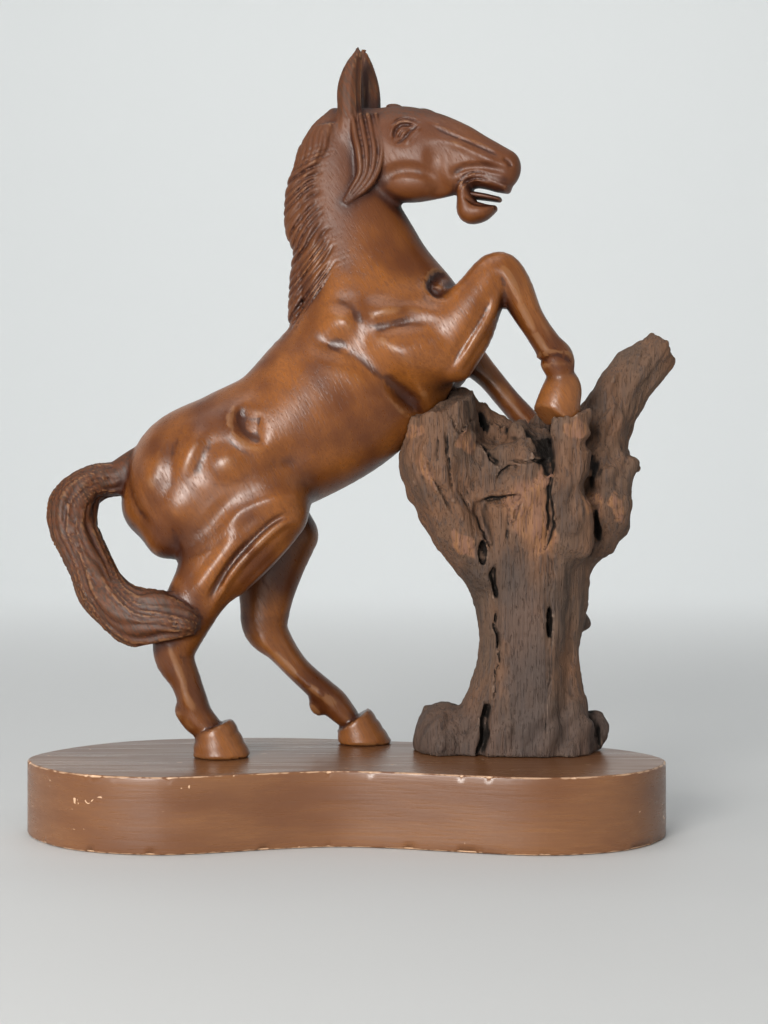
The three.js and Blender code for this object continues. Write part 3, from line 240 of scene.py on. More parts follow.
wood_grain.links.new(ranged(wood_grain, clouds.outputs["Fac"], 0.3, 0.7), gives["Clouds"])

# Rubbed edges, for every piece: the finish is worn through where the wood stands proud, in patches.
rubbed_edges, takes, gives = new_group(
    "rubbed edges",
    {"Ridge": "Float", "Place": "Vector", "Low": "Float", "High": "Float"},
    {"Mask": "Float"},
)
patches = add(rubbed_edges, "TexNoise", {"Vector": takes["Place"], "Scale": 1, "Detail": 3})
uneven = added(rubbed_edges, takes["Ridge"], patches.outputs["Fac"], "MULTIPLY")
bare = ranged(rubbed_edges, uneven, takes["Low"], takes["High"])
rubbed_edges.links.new(bare, gives["Mask"])


def varnished_board():
    STAIN = (0.145, 0.056, 0.021, 1)
    STAIN_LIGHT = (0.205, 0.088, 0.034, 1)
    STAIN_DARK = (0.13, 0.05, 0.022, 1)
    BARE_WOOD = (0.62, 0.40, 0.25, 1)
    material, tree, shader, place = new_finish("varnished board")
    grain = placed(tree, wood_grain, {"Place": scaled(tree, place, (16, 16, 60))})
    tone = mixed(tree, grain["Clouds"], STAIN, STAIN_LIGHT)
    tone = laid(tree, tone, STAIN_DARK, grain["Streaks"], 0.35, 0.65, 0.35)
    knocks = {"Place": scaled(tree, place, (210, 210, 210)), "Low": 0.36, "High": 0.5}
    worn = placed(tree, rubbed_edges, {"Ridge": painted(tree, "edge"), **knocks})
    tone = laid(tree, tone, BARE_WOOD, worn["Mask"], most=0.6)
    tone = laid(tree, tone, BARE_WOOD, painted(tree, "chip"), 0.12, 0.4)
    fleck_place = scaled(tree, place, (170, 170, 260))
    flecks = add(tree, "TexNoise", {"Vector": fleck_place, "Scale": 1, "Detail": 0.5, "Distortion": 1.2})
    tone = laid(tree, tone, BARE_WOOD, flecks.outputs["Fac"], 0.80, 0.82)
    gloss = ranged(tree, grain["Streaks"], 0.3, 0.7, 0.26, 0.38)
    surfaced(tree, shader, tone, gloss, grain["Streaks"], 0.12, 0.0004)
    return material


def make_plinth():
    middle = (plinth_low + plinth_high) / 2
    size = plinth_high - plinth_low
    rim = rounded_run([(x, y, 0) for x, y in PLINTH_RIM], 24, closed=True)[:, :2]
    span = rim.max(0) - rim.min(0)
    rim = (rim - (rim.max(0) + rim.min(0)) / 2) * size[:2] / span + middle[:2]
    rim = even_steps(rim, PLINTH_STEPS)
    run = np.roll(rim, -1, 0) - np.roll(rim, 1, 0)
    run /= np.linalg.norm(run, axis=1)[:, None]
    outward = np.column_stack([run[:, 1], -run[:, 0]])
    index = np.arange(PLINTH_STEPS)

    def bites(seed):
        at = np.column_stack([rim * 0.16, np.full(PLINTH_STEPS, seed)])
        fine = np.column_stack([rim * 0.55, np.full(PLINTH_STEPS, seed + 9)])
        return ease_between(0.25, 0.9, mottle(at) + 0.5 * mottle(fine))

    # Each ring: inset from the rim, height, share of the edge it belongs to, and which edge bites it
    top = plinth_high[2]
    turns = [math.pi / 2 * i / EDGE_STEPS for i in range(EDGE_STEPS + 1)]
    rings = [(inset, 0.0, 0.0, 0) for inset in EDGE_BANDS]
    for t in turns:
        inset = EDGE_RADIUS * (1 - math.sin(t))
        rings.append((inset, EDGE_RADIUS * (1 - math.cos(t)), math.sin(2 * t), 0))
    for i in range(1, SIDE_ROWS):
        rings.append((0.0, EDGE_RADIUS + (top - 2 * EDGE_RADIUS) * i / SIDE_ROWS, 0.0, 1))
    for t in reversed(turns):
        inset = EDGE_RADIUS * (1 - math.sin(t))
        rings.append((inset, top - EDGE_RADIUS * (1 - math.cos(t)), math.sin(2 * t), 1))
    rings += [(inset, top, 0.0, 1) for inset in reversed(EDGE_BANDS)]

    bite = [bites(seed) for seed in BITE_SEEDS]
    points, edge, chip = [], [], []
    for inset, height, share, which in rings:
        cut = BITE_DEPTH * share * bite[which]
        drop = cut if which else -cut
        ring = rim - outward * (inset + cut)[:, None]
        points.append(np.column_stack([ring, height - drop]))
        edge.append(np.full(PLINTH_STEPS, 0.35 + 0.65 * share if share else 0.0))
        chip.append(share * bite[which])
    faces = [list(index[::-1])]
    following = np.roll(index, -1)
    for level in range(len(rings) - 1):
        low, high = level * PLINTH_STEPS, (level + 1) * PLINTH_STEPS
        faces += np.column_stack([low + index, low + following, high + following, high + index]).tolist()
    faces.append(list((len(rings) - 1) * PLINTH_STEPS + index))
    values = {"edge": np.concatenate(edge), "chip": np.concatenate(chip)}
    return new_piece("plinth_board", np.vstack(points), faces, values)


plinth = make_plinth()
plinth.data.materials.append(varnished_board())
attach(plinth, "root")
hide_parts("plinth")

# Horse: carved from one block of close-grained hardwood, stained and polished, with its hooves glued
# to the plinth. Sizes are millimetres from a point on the plinth's top, with the near side at -y.
# The body is a run of oval sections melted together, and then cut with gouges.

FIGURE_SETBACK = 18
FIGURE_ORIGIN = np.array([0, FIGURE_SETBACK, plinth_high[2]])
GLUE_LINE = 0.3
REACH = 16  # a shape further off than this has no say in a blend


def oval_distance(u, v, w, a, b, c):
    inside = np.sqrt((u / a) ** 2 + (v / b) ** 2 + (w / c) ** 2)
    slope = np.sqrt((u / a**2) ** 2 + (v / b**2) ** 2 + (w / c**2) ** 2)
    return inside * (inside - 1) / np.maximum(slope, 1e-6)


def limb(stations, relief=None, steps=5):
    """A body along stations (x, y, z, depth, width): depth is its half-size in the side view and
    width its half-size across. Relief adds carving by the place along it and in its section."""
    run = rounded_run(stations, steps)
    reach = run[:, 3:].max() + REACH
    low = run[:, :3].min(0) - reach
    high = run[:, :3].max(0) + reach
    pieces = []
    for start, end in zip(run[:-1], run[1:]):
        along = end[:3] - start[:3]
        length = np.linalg.norm(along)
        along = along / length
        across = np.array([0.0, 1.0, 0.0]) - along[1] * along
        across /= np.linalg.norm(across)
        axes = np.column_stack([along, np.cross(across, along), across]).astype(np.float32)
        pieces.append((start, end - start, length, axes))

    def shape(p):
        result = np.full(len(p), float(REACH), np.float32)
        close = np.all((p > low) & (p < high), axis=1)
        q = p[close]
        best = np.full(len(q), 1e3, np.float32)
        spot = np.zeros((3, len(q)), np.float32)
        for i, (start, change, length, axes) in enumerate(pieces):
            w, u, v = ((q - start[:3].astype(np.float32)) @ axes).T
            t = np.clip(w / length, 0, 1)
            depth = start[3] + change[3] * t
            width = start[4] + change[4] * t
            d = oval_distance(u, v, w - t * length, depth, width, np.minimum(depth, width))
            nearer = d < best
            best[nearer] = d[nearer]
            if relief:
                spot[0, nearer] = (i + t[nearer]) / len(pieces)
                spot[1, nearer] = (u / depth)[nearer]
                spot[2, nearer] = (v / width)[nearer]
        result[close] = best - relief(*spot) if relief else best
        return result

    return shape


def oval(centre, sizes, pitch=0):
    """An egg with half-sizes along its length, across the figure and through its depth."""
    c, s = math.cos(math.radians(pitch)), math.sin(math.radians(pitch))

    def shape(p):
        x, y, z = (p - np.array(centre, np.float32)).T
        return oval_distance(x * c + z * s, y, z * c - x * s, *sizes)

    return shape


def melt(a, b, seam):
    """Two distances melted together over a seam of the given breadth."""
    h = np.maximum(seam - np.abs(a - b), 0) / seam
    return np.minimum(a, b) - h * h * seam / 4


def gouge(a, cut, ease):
    return -melt(-a, cut, ease)


def furrows(turns):
    """Round ridges with sharp valleys between them, from -1 to 0."""
    return np.abs(np.sin(np.pi * turns)) - 1


def mirrored(p):
    return np.column_stack([p[:, 0], np.abs(p[:, 1]), p[:, 2]])


def crease(points, left, right=None, ease=1.6):
    """A line cut in the side view through (x, z) points. Left and right give the breadth and the
    height of its two flanks, seen along its run. Left does for both if right isn't given. The line
    dies out at both ends."""
    right = right or left
    line = rounded_run([(x, z, 0) for x, z in points], 7)[:, :2].astype(np.float32)
    reach = max(left[0], right[0])
    low, high = line.min(0) - reach, line.max(0) + reach

    def relief(p):
        result = np.zeros(len(p), np.float32)
        seen = p[:, [0, 2]]
        close = np.all((seen > low) & (seen < high), axis=1)
        q = seen[close]
        nearest = np.full(len(q), 1e3, np.float32)
        side = np.ones(len(q), np.float32)
        along = np.zeros(len(q), np.float32)
        for i, (a, b) in enumerate(zip(line[:-1], line[1:])):
            run = b - a
            off = q - a
            t = np.clip(off @ run / (run @ run), 0, 1)
            distance = np.hypot(off[:, 0] - t * run[0], off[:, 1] - t * run[1])
            nearer = distance < nearest
            nearest[nearer] = distance[nearer]
            turn = np.where(run[0] * off[:, 1] - run[1] * off[:, 0] < 0, -1, 1)
            side[nearer] = turn[nearer]
            along[nearer] = (i + t[nearer]) / (len(line) - 1)
        off = side * nearest
        left_rise = left[1] * (1 - np.clip(off / left[0], 0, 1) ** 2) ** 2
        right_rise = right[1] * (1 - np.clip(-off / right[0], 0, 1) ** 2) ** 2
        share = ease_between(-ease, ease, off)
        fade = ease_between(0, 0.25, np.minimum(along, 1 - along))
        result[close] = (right_rise + (left_rise - right_rise) * share) * fade
        return result

    return relief


def mound(centre, sizes, pitch, height):
    """A soft swelling, or a hollow, in the side view."""
    c, s = math.cos(math.radians(pitch)), math.sin(math.radians(pitch))

    def relief(p):
        x = p[:, 0] - centre[0]
        z = p[:, 2] - centre[1]
        u = (x * c + z * s) / sizes[0]
        v = (z * c - x * s) / sizes[1]
        return height * np.maximum(0, 1 - u * u - v * v) ** 2

    return relief


NEAR, FAR, BOTH = -1, 1, 0


def both_sides(cuts):
    return [(BOTH, cut) for cut in cuts]


def carve(d, p, cuts, bare=4, fade=8):
    """Puts carving on the near side, the far side or both, past a bare strip at the middle."""
    CUT_REACH = 8
    d = d.copy()
    close = np.abs(d) < CUT_REACH
    q = p[close]
    relief = np.zeros(len(q), np.float32)
    for side, cut in cuts:
        out = np.abs(q[:, 1]) if side == BOTH else side * q[:, 1]
        relief += ease_between(bare, bare + fade, out) * cut(q)
    d[close] -= relief
    return d


barrel = limb([
    (-96, 0, 126, 19, 20),
    (-79, 0, 136, 36, 29),
    (-56, 0, 150, 35, 33),
    (-31, 0, 161, 37, 34),
    (-4, 0, 182, 42, 32),
    (21, 0, 207, 40, 27),
    (40, 0, 226, 25, 18),
], steps=8)
neck = limb([
    (17, 0, 219, 38, 26),
    (9.5, 0, 243, 34, 22),
    (3, 0, 264, 29, 18),
    (-2, -1, 281, 24, 15),
    (-3, -2, 299, 21, 13),
    (2, -2, 314, 15, 12),
], steps=8)
thigh = oval((-62, 14, 138), (42, 20, 35), 30)
buttock = oval((-86, 12, 122), (14, 15, 24), -20)
shoulder = oval((28, 17, 205), (34, 14, 24), 30)

BODY_CARVING = both_sides([
    # Shoulder: a knob at its top with a pit above it, the spine of the blade, and the upper arm
    mound((-5, 215), (12, 11), 60, 2.6),
    mound((0.5, 225), (11, 8), -30, -1),
    mound((7.5, 214), (7, 13), 10, -1.6),
    mound((18, 221), (14, 9), -10, 2.2),
    mound((34, 220), (18, 7), -5, 1.4),
    crease([(7, 203), (16, 212), (28, 215.5), (41, 214), (52, 207), (58, 196)],
           (7, -1.8), (6, -1.4), 3),
    mound((36, 199), (28, 16), 0, 5.4),
    # Broad furrow behind the shoulder, deepest at the girth
    crease([(-18, 213), (-4, 205), (8, 198.5), (22, 188), (36, 172)], (13, -3.6), (12, -3.6), 4),
    mound((30, 180), (17, 8), -43, -4.5),
    # Scooped hollow between the breast and the foreleg
    crease([(54, 244), (44, 241), (40.5, 234), (46, 227.5), (60, 228)], (7, -3.6), (4, 1), 1.6),
    # Hip bone: a crescent with a hollow in front of it
    crease([(-51, 178), (-54.5, 169), (-53, 162), (-46, 156), (-36, 155)], (24, -2.8), (6, 1.5), 3.5),
    # Muscles of the croup: three soft swellings with dips between them, and the crest behind them
    mound((-93, 142), (20, 10), 72, 2.4),
    mound((-85, 148), (21, 10), 68, -1.6),
    mound((-77, 151), (18, 9), 62, 2.4),
    mound((-68, 148), (16, 10), 55, -1),
    mound((-59.5, 146), (15, 11), -10, 2.2),
    crease([(-90, 168), (-98, 156), (-100.5, 143), (-95, 129)], (6, 0.8), (7, 0.8), 2),
    crease([(-106, 158), (-109, 145), (-104, 128), (-92, 112)], (6, 0.7), (5, -0.9), 2),
    mound((-84, 122), (16, 14), 0, 2),
    mound((-66, 112), (9, 26), -35, -2.4),
    # Hollow of the flank
    mound((-30, 148), (18, 10), 30, -2),
])


def trunk(p):
    NECK_SEAM, MUSCLE_SEAM = 14, 10
    sides = mirrored(p)
    masses = np.minimum(np.minimum(thigh(sides), buttock(sides)), shoulder(sides))
    return carve(melt(melt(barrel(p), neck(p), NECK_SEAM), masses, MUSCLE_SEAM), p, BODY_CARVING)


near_foreleg = limb([
    (47, -22, 203, 20, 12),
    (57, -24, 214, 17, 12),
    (66, -25, 228, 13, 11),
    (76, -25, 240, 11, 10),
    (82.5, -25, 234, 9.5, 9.5),
    (91.5, -24, 218, 6.9, 8),
    (100.5, -22, 205, 7, 8),
    (105.2, -20, 198, 8.6, 8.5),
    (107, -19, 190.5, 6.2, 7.5),
])
near_fore_hoof = limb([
    (107.6, -18, 189.5, 6.6, 8),
    (108, -18, 183.5, 9.6, 9.5),
    (106.4, -18, 177, 10.8, 10.5),
    (104, -18, 162, 13.5, 11),
])
far_foreleg = limb([
    (46, 20, 198, 18, 11),
    (61, 24, 204, 10, 9),
    (72, 24, 195.5, 6.8, 8),
    (84, 24, 181.5, 6.2, 8),
    (96, 24, 168, 6.6, 8),
    (101, 24, 162, 5.8, 8),
    (106, 24, 156, 6.4, 8),
])
far_fore_hoof = limb([
    (103.5, 24, 159, 7.4, 8.8),
    (110.5, 24, 150, 10.5, 10.5),
    (115, 24, 144, 11.5, 11),
])
near_hind_leg = limb([
    (-34, -21, 122, 15, 13),
    (-53, -22, 104, 18, 13),
    (-70, -22, 86, 15, 12),
    (-81, -22, 67, 13, 10.5),
    (-85.5, -21, 51, 10, 9),
    (-79.8, -21, 38, 7.4, 8.5),
    (-76, -21, 27, 7.2, 8.5),
    (-74.5, -21, 20.5, 8, 8.5),
    (-68, -21, 14, 6.5, 8),
])
near_hind_hoof = limb([(-66.5, -21, 22, 7.6, 9.5), (-61, -21, -6, 16, 13)])
far_hind_leg = limb([
    (-28, 22, 110, 12.6, 12),
    (-41, 24, 89, 15.8, 12),
    (-43.5, 24, 73, 13.4, 11),
    (-43.5, 24, 61, 11.5, 10),
    (-36, 24, 51, 8, 9),
    (-26.5, 24, 39.5, 6.4, 8.5),
    (-13, 24, 27, 6.8, 8.5),
    (-7.5, 24, 21.5, 7.4, 8.5),
    (-0.5, 24, 14, 6, 8),
])
far_hind_hoof = limb([(1, 24, 20, 8, 9.5), (10.5, 24, -6, 15, 12.5)])
ergots = [oval((-81, -21, 22.5), (4.5, 5, 3.4), -50), oval((-16.5, 24, 19.5), (5, 5, 3.4), -60)]

LEG_CARVING = [
    # Near thigh: the hood over the stifle, a groove under it and a round cord down to the hock
    (NEAR, crease([(-64, 106), (-54, 121.5), (-36, 129.5), (-25, 131), (-19, 126)], (7, 1.2), (9, 2.2), 2)),
    (NEAR, crease([(-20, 122), (-33, 118.5), (-46.5, 107), (-57, 95), (-63, 85), (-70, 72)],
                  (3.4, -2), ease=1.2)),
    (NEAR, crease([(-22, 119), (-30, 116.5), (-42, 106.5), (-54, 93.5), (-62, 82), (-68, 72)],
                  (3.6, 1.8), (4.5, 1.8), 1.2)),
    (NEAR, crease([(-18, 114), (-33, 98), (-50, 81), (-62, 66)], (6, -1.2), (4, 1), 1.5)),
    (NEAR, crease([(-48, 115), (-58, 103), (-68, 90), (-76, 78)], (7, 1.6), (6, 1.6), 2)),
    # Arrises down the shins and the edges of the forearm
    (NEAR, crease([(-90, 64), (-84.3, 50.5), (-80.5, 40), (-78, 30), (-72, 22)], (3.6, 1.2), ease=0.8)),
    (FAR, crease([(-48, 60), (-41, 50.5), (-20.7, 31.7), (-4, 20)], (3.6, 1.2), ease=0.8)),
    (NEAR, crease([(74, 244), (79.6, 238), (90, 215.5), (98.7, 201.6), (107, 198)], (3.6, 1.3), ease=0.8)),
    (NEAR, crease([(75, 232), (72.6, 221), (62, 203), (50.8, 185.9)], (3.6, 1.4), ease=0.8)),
    (NEAR, crease([(70, 228), (66, 218), (56, 202), (46, 187)], (4, -1), ease=1)),
    (NEAR, crease([(92, 197.5), (101, 199.5), (107.4, 199.9), (114, 196)], (2.6, 1.2), (4, -1.6), 0.8)),
]


def slice_off(p, point, facing):
    """Distance past a flat cut through a point, on the side that it faces."""
    facing = np.array(facing, np.float32)
    return (p - np.array(point, np.float32)) @ (facing / np.linalg.norm(facing))


# Flat cuts of the hooves: a point and the way it faces
RAISED_SOLE = ((99, -18, 171), (-0.55, -0.3, -0.78))
RAISED_TOE = ((104, -18, 166), (0, 0, -1))
FAR_FORE_SOLE = ((110, 24, 150.5), (0.6, 0, -0.8))
NEAR_CORONET = ((-65, -21, 15.8), (-0.36, 0, 0.93))
FAR_CORONET = ((3.8, 24, 13.5), (-0.56, 0, 0.83))


def hooves(p):
    raised = np.maximum(near_fore_hoof(p), slice_off(p, *RAISED_SOLE))
    raised = np.maximum(raised, slice_off(p, *RAISED_TOE))
    near = np.maximum(near_hind_hoof(p), slice_off(p, *NEAR_CORONET))
    far = np.maximum(far_hind_hoof(p), slice_off(p, *FAR_CORONET))
    far_fore = np.maximum(far_fore_hoof(p), slice_off(p, *FAR_FORE_SOLE))
    return np.minimum.reduce([raised, far_fore, near, far])


HEAD_PIVOT = np.array([2, -2], np.float32)
HEAD_TURN = math.radians(15)
skull = limb([
    (3, 0, 315, 13, 13),
    (16, 0, 307.5, 21, 14),
    (28, 0, 303.5, 24, 15),
    (43.6, 0, 301.2, 22, 13.5),
    (58, 0, 299, 17.5, 11.5),
    (68.3, 0, 297, 13, 10),
    (74.5, 0, 294.8, 11.4, 9.6),
    (80, 0, 292.3, 10.6, 9.2),
], steps=10)
jaw = limb([
    (61, 0, 285, 4, 8.5),
    (61.8, 0, 279, 4.6, 8),
    (63.6, 0, 272.8, 6, 7.5),
    (69, 0, 271.8, 4.8, 7),
    (73.5, 0, 272.6, 2.8, 5.5),
    (76, 0, 273.4, 1.6, 4.5),
])
lip = limb([
    (66, 0, 288.5, 2.6, 8),
    (75, 0, 286, 3, 8.2),
    (82, 0, 283.2, 2.4, 7.2),
])
tongue = limb([
    (61, 0, 281.5, 2, 5),
    (72, 0, 279.3, 1.7, 5),
    (78.5, 0, 277.8, 1.4, 4),
])


def ear_lines(along, up, across):
    return 0.45 * furrows(up * 1.7 + 0.3 * along)


near_ear = limb([
    (3.5, -9, 314, 6.5, 5),
    (4, -11, 325, 6.2, 5),
    (4, -11, 336, 6.2, 4.6),
    (6, -11, 346, 4.6, 3.6),
    (8.7, -10.5, 354.5, 1.8, 1.8),
], ear_lines)
far_ear = limb([
    (9, 6, 314, 6, 5),
    (9.5, 8, 327, 5.6, 5),
    (9.3, 8, 340, 5.2, 4.6),
    (7.6, 8, 351, 3.7, 3.4),
    (6, 7.5, 359, 1.8, 1.8),
], ear_lines)
near_ear_cup = limb([
    (10.5, -13, 320, 1.5, 2),
    (10.5, -13.5, 336, 2.4, 2.6),
    (9.6, -12.5, 350, 0.8, 1.2),
])
far_ear_cup = limb([
    (5, 4, 322, 1.5, 2),
    (4.8, 3.5, 340, 1.8, 2.4),
    (5, 4.5, 356, 0.8, 1.2),
])
far_brow = [oval((23, 6, 328.4), (5, 4, 2.4), -8), oval((40, 8, 325), (6, 4, 2.4), -20)]

HEAD_CARVING = both_sides([
    # Eye: a ball between an upper lid in two folds and a slanting lower lid, in a shallow socket
    mound((32, 311), (10, 9), -20, -1.4),
    mound((32.6, 311.8), (4.4, 3.4), -25, 1.2),
    crease([(28.1, 306), (28.6, 312.6), (31.9, 315.2), (39, 314.4)], (1.2, -1.3), ease=0.5),
    crease([(26.6, 308.2), (27.4, 314.4), (31.6, 317), (41, 314.8)], (1.4, 0.8), (1.2, 0.8), 0.5),
    crease([(26, 315.4), (31.3, 318.9), (42, 316.2)], (1.3, -0.8), ease=0.5),
    crease([(40.4, 315), (35.8, 311.6), (32.3, 307.4), (28, 305)], (1.2, -1.3), ease=0.5),
    crease([(41.6, 313.7), (37.4, 309.7), (33.4, 304.4)], (2, 0.7), ease=0.6),
    crease([(29.4, 307.5), (31.9, 311.6), (37.1, 313.4)], (0.9, -0.7), ease=0.4),
    # Cheek: the jaw muscle below its furrow, and the hollow in front of it
    mound((36, 284), (17, 8), 0, 1.7),
    crease([(18, 289), (30.6, 293), (39.8, 292.2), (49, 288)], (4.5, -1.7), (5, -1.7), 2),
    crease([(49.5, 307), (48, 295), (49, 286), (51.5, 276)], (7, -2), ease=3),
    mound((57, 296), (9, 10), 30, -1),
    # Muzzle: the edge of the nose, the crest of the face, the band over the lip and the nostril
    crease([(40.8, 318.5), (56.1, 310), (71.2, 303), (83.7, 297)], (3, 0.8), (4, -0.8), 1.5),
    crease([(48, 309), (62.2, 303.2), (71.2, 298.6), (82, 292.6)], (3.4, 1.2), (4, 1.2), 1),
    crease([(54, 288), (60, 291.8), (66.2, 293), (76.2, 292), (90, 287)], (3, -1.4), ease=1),
    crease([(59.4, 279.6), (63.2, 285.5), (68.2, 286.9), (77, 284.8)], (1.6, -1), (1.4, 0.7), 0.5),
    crease([(57.6, 281.4), (61.5, 287.6), (67, 289.9), (76, 288.6)], (1.6, -0.9), (1.4, 0.6), 0.5),
    crease([(81.5, 296.4), (84.5, 294.6), (86, 291.4)], (1.6, -1), ease=0.6),
    crease([(60.4, 280), (66, 276), (70, 274.6), (76, 275)], (1.4, -1), ease=0.5),
])


def in_head(p):
    """Places in the head's own frame, in which it points straight along +x."""
    c, s = math.cos(HEAD_TURN), math.sin(HEAD_TURN)
    turned = (p[:, :2] - HEAD_PIVOT) @ np.array([[c, s], [-s, c]], np.float32) + HEAD_PIVOT
    return np.column_stack([turned, p[:, 2]])


def tongue_shape(p):
    return tongue(in_head(p))


def head(p):
    LIP_SEAM, MOUTH_SEAM, BROW_SEAM, EAR_SEAM, CUP_EASE = 2, 1.2, 2, 3, 1
    q = in_head(p)
    face = melt(melt(skull(q), lip(q), LIP_SEAM), jaw(q), MOUTH_SEAM)
    face = carve(face, q, HEAD_CARVING, bare=1, fade=6)
    face = melt(face, np.minimum(far_brow[0](q), far_brow[1](q)), BROW_SEAM)
    ears = gouge(near_ear(q), near_ear_cup(q), CUP_EASE)
    ears = np.minimum(ears, gouge(far_ear(q), far_ear_cup(q), CUP_EASE))
    return melt(face, ears, EAR_SEAM)


# The mane lies in a sheet on the neck, between an inner and an outer edge in the side view. Its
# locks leave the inner edge, sweep back and hang down along the outer edge.
MANE_HEIGHTS = [214, 222, 234, 247, 256, 265, 273, 283, 289, 300, 305, 311, 322]
MANE_INNER = [-5.1, -5.1, -5.1, -5.1, -6.6, -8.8, -11.2, -13.2, -14, -9.6, -5.9, -3.6, -1]
MANE_OUTER = [-28.5, -30.1, -29.6, -28.8, -27.3, -31, -31.7, -31.7, -30.5, -24, -22.5, -21.4, -14]
MANE_TOP, MANE_LENGTH, MANE_DROP = 318, 70.6, 35.4
MANE_LOCKS = 20
MANE_BREADTH = 18
MANE_THICKNESS = 3.4
LOCK_CURVE, CURVE_LOSS = 1.9, 0.9  # bend of a lock at the top of the mane, and how much less at its foot
LOCK_RISE = 2
LOCK_DEPTH = 1.35
POLL_DEPTH = 0.4
LOCK_UNEVEN = 0.4  # how much deeper or shallower than that a lock may be
crest = limb([
    (-6, -2, 323, 5, 6),
    (-12.5, -2, 311, 9, 9),
    (-16.8, -1, 300, 7.6, 10),
    (-21.5, -1, 289, 9, 11),
    (-22.3, 0, 279, 9.8, 11.5),
    (-20.8, 0, 267, 11, 12),
    (-18, 0, 256, 9.4, 12),
    (-18, 0, 246, 11, 12),
    (-21.7, 0, 234, 8.2, 11),
    (-25.8, 0, 222, 4.5, 8),
    (-27.3, 0, 215, 2, 5),
])


def mane_spots(p):
    """Share of the way down the mane at which a point's lock starts, and its place across."""
    inner = np.interp(p[:, 2], MANE_HEIGHTS, MANE_INNER)
    outer = np.interp(p[:, 2], MANE_HEIGHTS, MANE_OUTER)
    across = (inner - p[:, 0]) / (inner - outer)
    spread = np.clip(across, 0, 1.1)
    guess = (MANE_TOP - p[:, 2]) / (MANE_LENGTH + MANE_DROP * spread**1.5)
    hang = spread ** (LOCK_CURVE - CURVE_LOSS * np.clip(guess, 0, 1))
    return (MANE_TOP + LOCK_RISE * hang - p[:, 2]) / (MANE_LENGTH + MANE_DROP * hang), across


FRINGE_STRANDS = 4
FRINGE_HEIGHT = 3.6
# The forelock hangs in strands between two lines, from the poll to a tip behind the cheek
FRINGE_BACK = [(3.1, 321), (4.6, 311.5), (6.6, 301.6), (7.1, 291.7), (3.1, 284.2), (-0.8, 277.8)]
FRINGE_FRONT = [(15, 321), (17, 311.5), (18, 301.6), (15.5, 291.7), (10.1, 284.2), (0.6, 276.8)]
FRINGE_LEVEL = [-12, -14.5, -16.5, -16, -14.5, -14]
FRINGE_BREADTH = [1.8, 2.2, 2.1, 1.9, 1.7, 1.1]


def fringe_strand(share):
    stations = []
    for back, front, y, breadth in zip(FRINGE_BACK, FRINGE_FRONT, FRINGE_LEVEL, FRINGE_BREADTH):
        x, z = np.array(back) + (np.array(front) - np.array(back)) * share
        stations.append((x, y, z, breadth, FRINGE_HEIGHT))
    return limb(stations)


fringe = [fringe_strand(n / (FRINGE_STRANDS - 1)) for n in range(FRINGE_STRANDS)]


def mane_sheet(p):
    INNER_EDGE, OUTER_EDGE, TIPS = -0.3, 1.3, 1.04
    FULL = 0.5  # share of the breadth over which the sheet thickens
    SUNK = 0.6  # depth of the sheet's edge under the skin of the neck
    start, across = mane_spots(p)
    thickness = MANE_THICKNESS * ease_between(0, FULL, across) - SUNK
    edge = np.maximum((start - TIPS) * MANE_LENGTH, (across - OUTER_EDGE) * MANE_BREADTH)
    edge = np.maximum(edge, (INNER_EDGE - across) * MANE_BREADTH)
    sheet = np.maximum(neck(p) - thickness, edge)
    return np.minimum(crest(p), np.maximum(sheet, p[:, 2] - MANE_TOP))


def mane_locks(p):
    """Relief of the locks: lines that are cut from the neck outwards, some long and some short, and
    fine strands along the crest at the poll."""
    start, across = mane_spots(p)
    phase = start * MANE_LOCKS + 0.2 * np.sin(start * 31)
    uneven = np.sin(2.4 * np.round(phase))
    reach_in = ease_between(-0.04, 0.3, across - 0.1 * uneven)
    near_edge = 1 - 0.7 * ease_between(0.8, 1.05, across)
    ends = ease_between(1.07, 1.0, start) * ease_between(0.12, 0.3, start)
    locks = (LOCK_DEPTH + LOCK_UNEVEN * uneven) * furrows(phase) * reach_in * near_edge * ends
    strands = POLL_DEPTH * furrows(across * 6 + start * 5) * ease_between(0.32, 0.2, start)
    return locks + strands * ease_between(0.05, 0.3, across) * ease_between(-0.02, 0.04, start)


def fringe_hair(p):
    return np.minimum.reduce([strand(p) for strand in fringe])


def mane(p):
    return np.minimum(mane_sheet(p), fringe_hair(p))


TAIL_STRANDS = 22
STRAND_DEPTH = 1.2


def tail_locks(along, up, across):
    turn = np.arctan2(up, across) / (2 * np.pi)
    dock = ease_between(0.04, 0.14, along)
    wander = along * 1.2 + 0.1 * np.sin(along * 21 + turn * 9)
    fine = furrows(turn * TAIL_STRANDS + wander * 2 + 0.5 * np.sin(along * 13 + turn * 25))
    broad = furrows(turn * TAIL_STRANDS / 3 + wander)
    return dock * (STRAND_DEPTH * fine + STRAND_DEPTH * broad)


TAIL_END = (-97, 57)
TAIL_END_RISE = 0.22
hair = limb([
    (-106, 0, 146, 9.2, 9),
    (-117, 0, 139.5, 9.2, 9),
    (-126, -1, 138, 9.7, 10),
    (-134, -3, 133, 10.7, 11),
    (-139, -5, 125, 13, 12),
    (-138, -8, 114, 12.7, 12),
    (-134, -11, 106, 12.1, 12),
    (-128, -15, 95, 12, 12),
    (-122, -20, 84, 13, 12),
    (-114, -25, 76, 13.4, 11),
    (-103, -29, 70, 15.5, 10),
    (-90, -31, 69, 15, 9),
    (-79, -31, 67.5, 10, 8),
], tail_locks)


def tail(p):
    return np.maximum(hair(p), TAIL_END[1] + TAIL_END_RISE * (p[:, 0] - TAIL_END[0]) - p[:, 2])


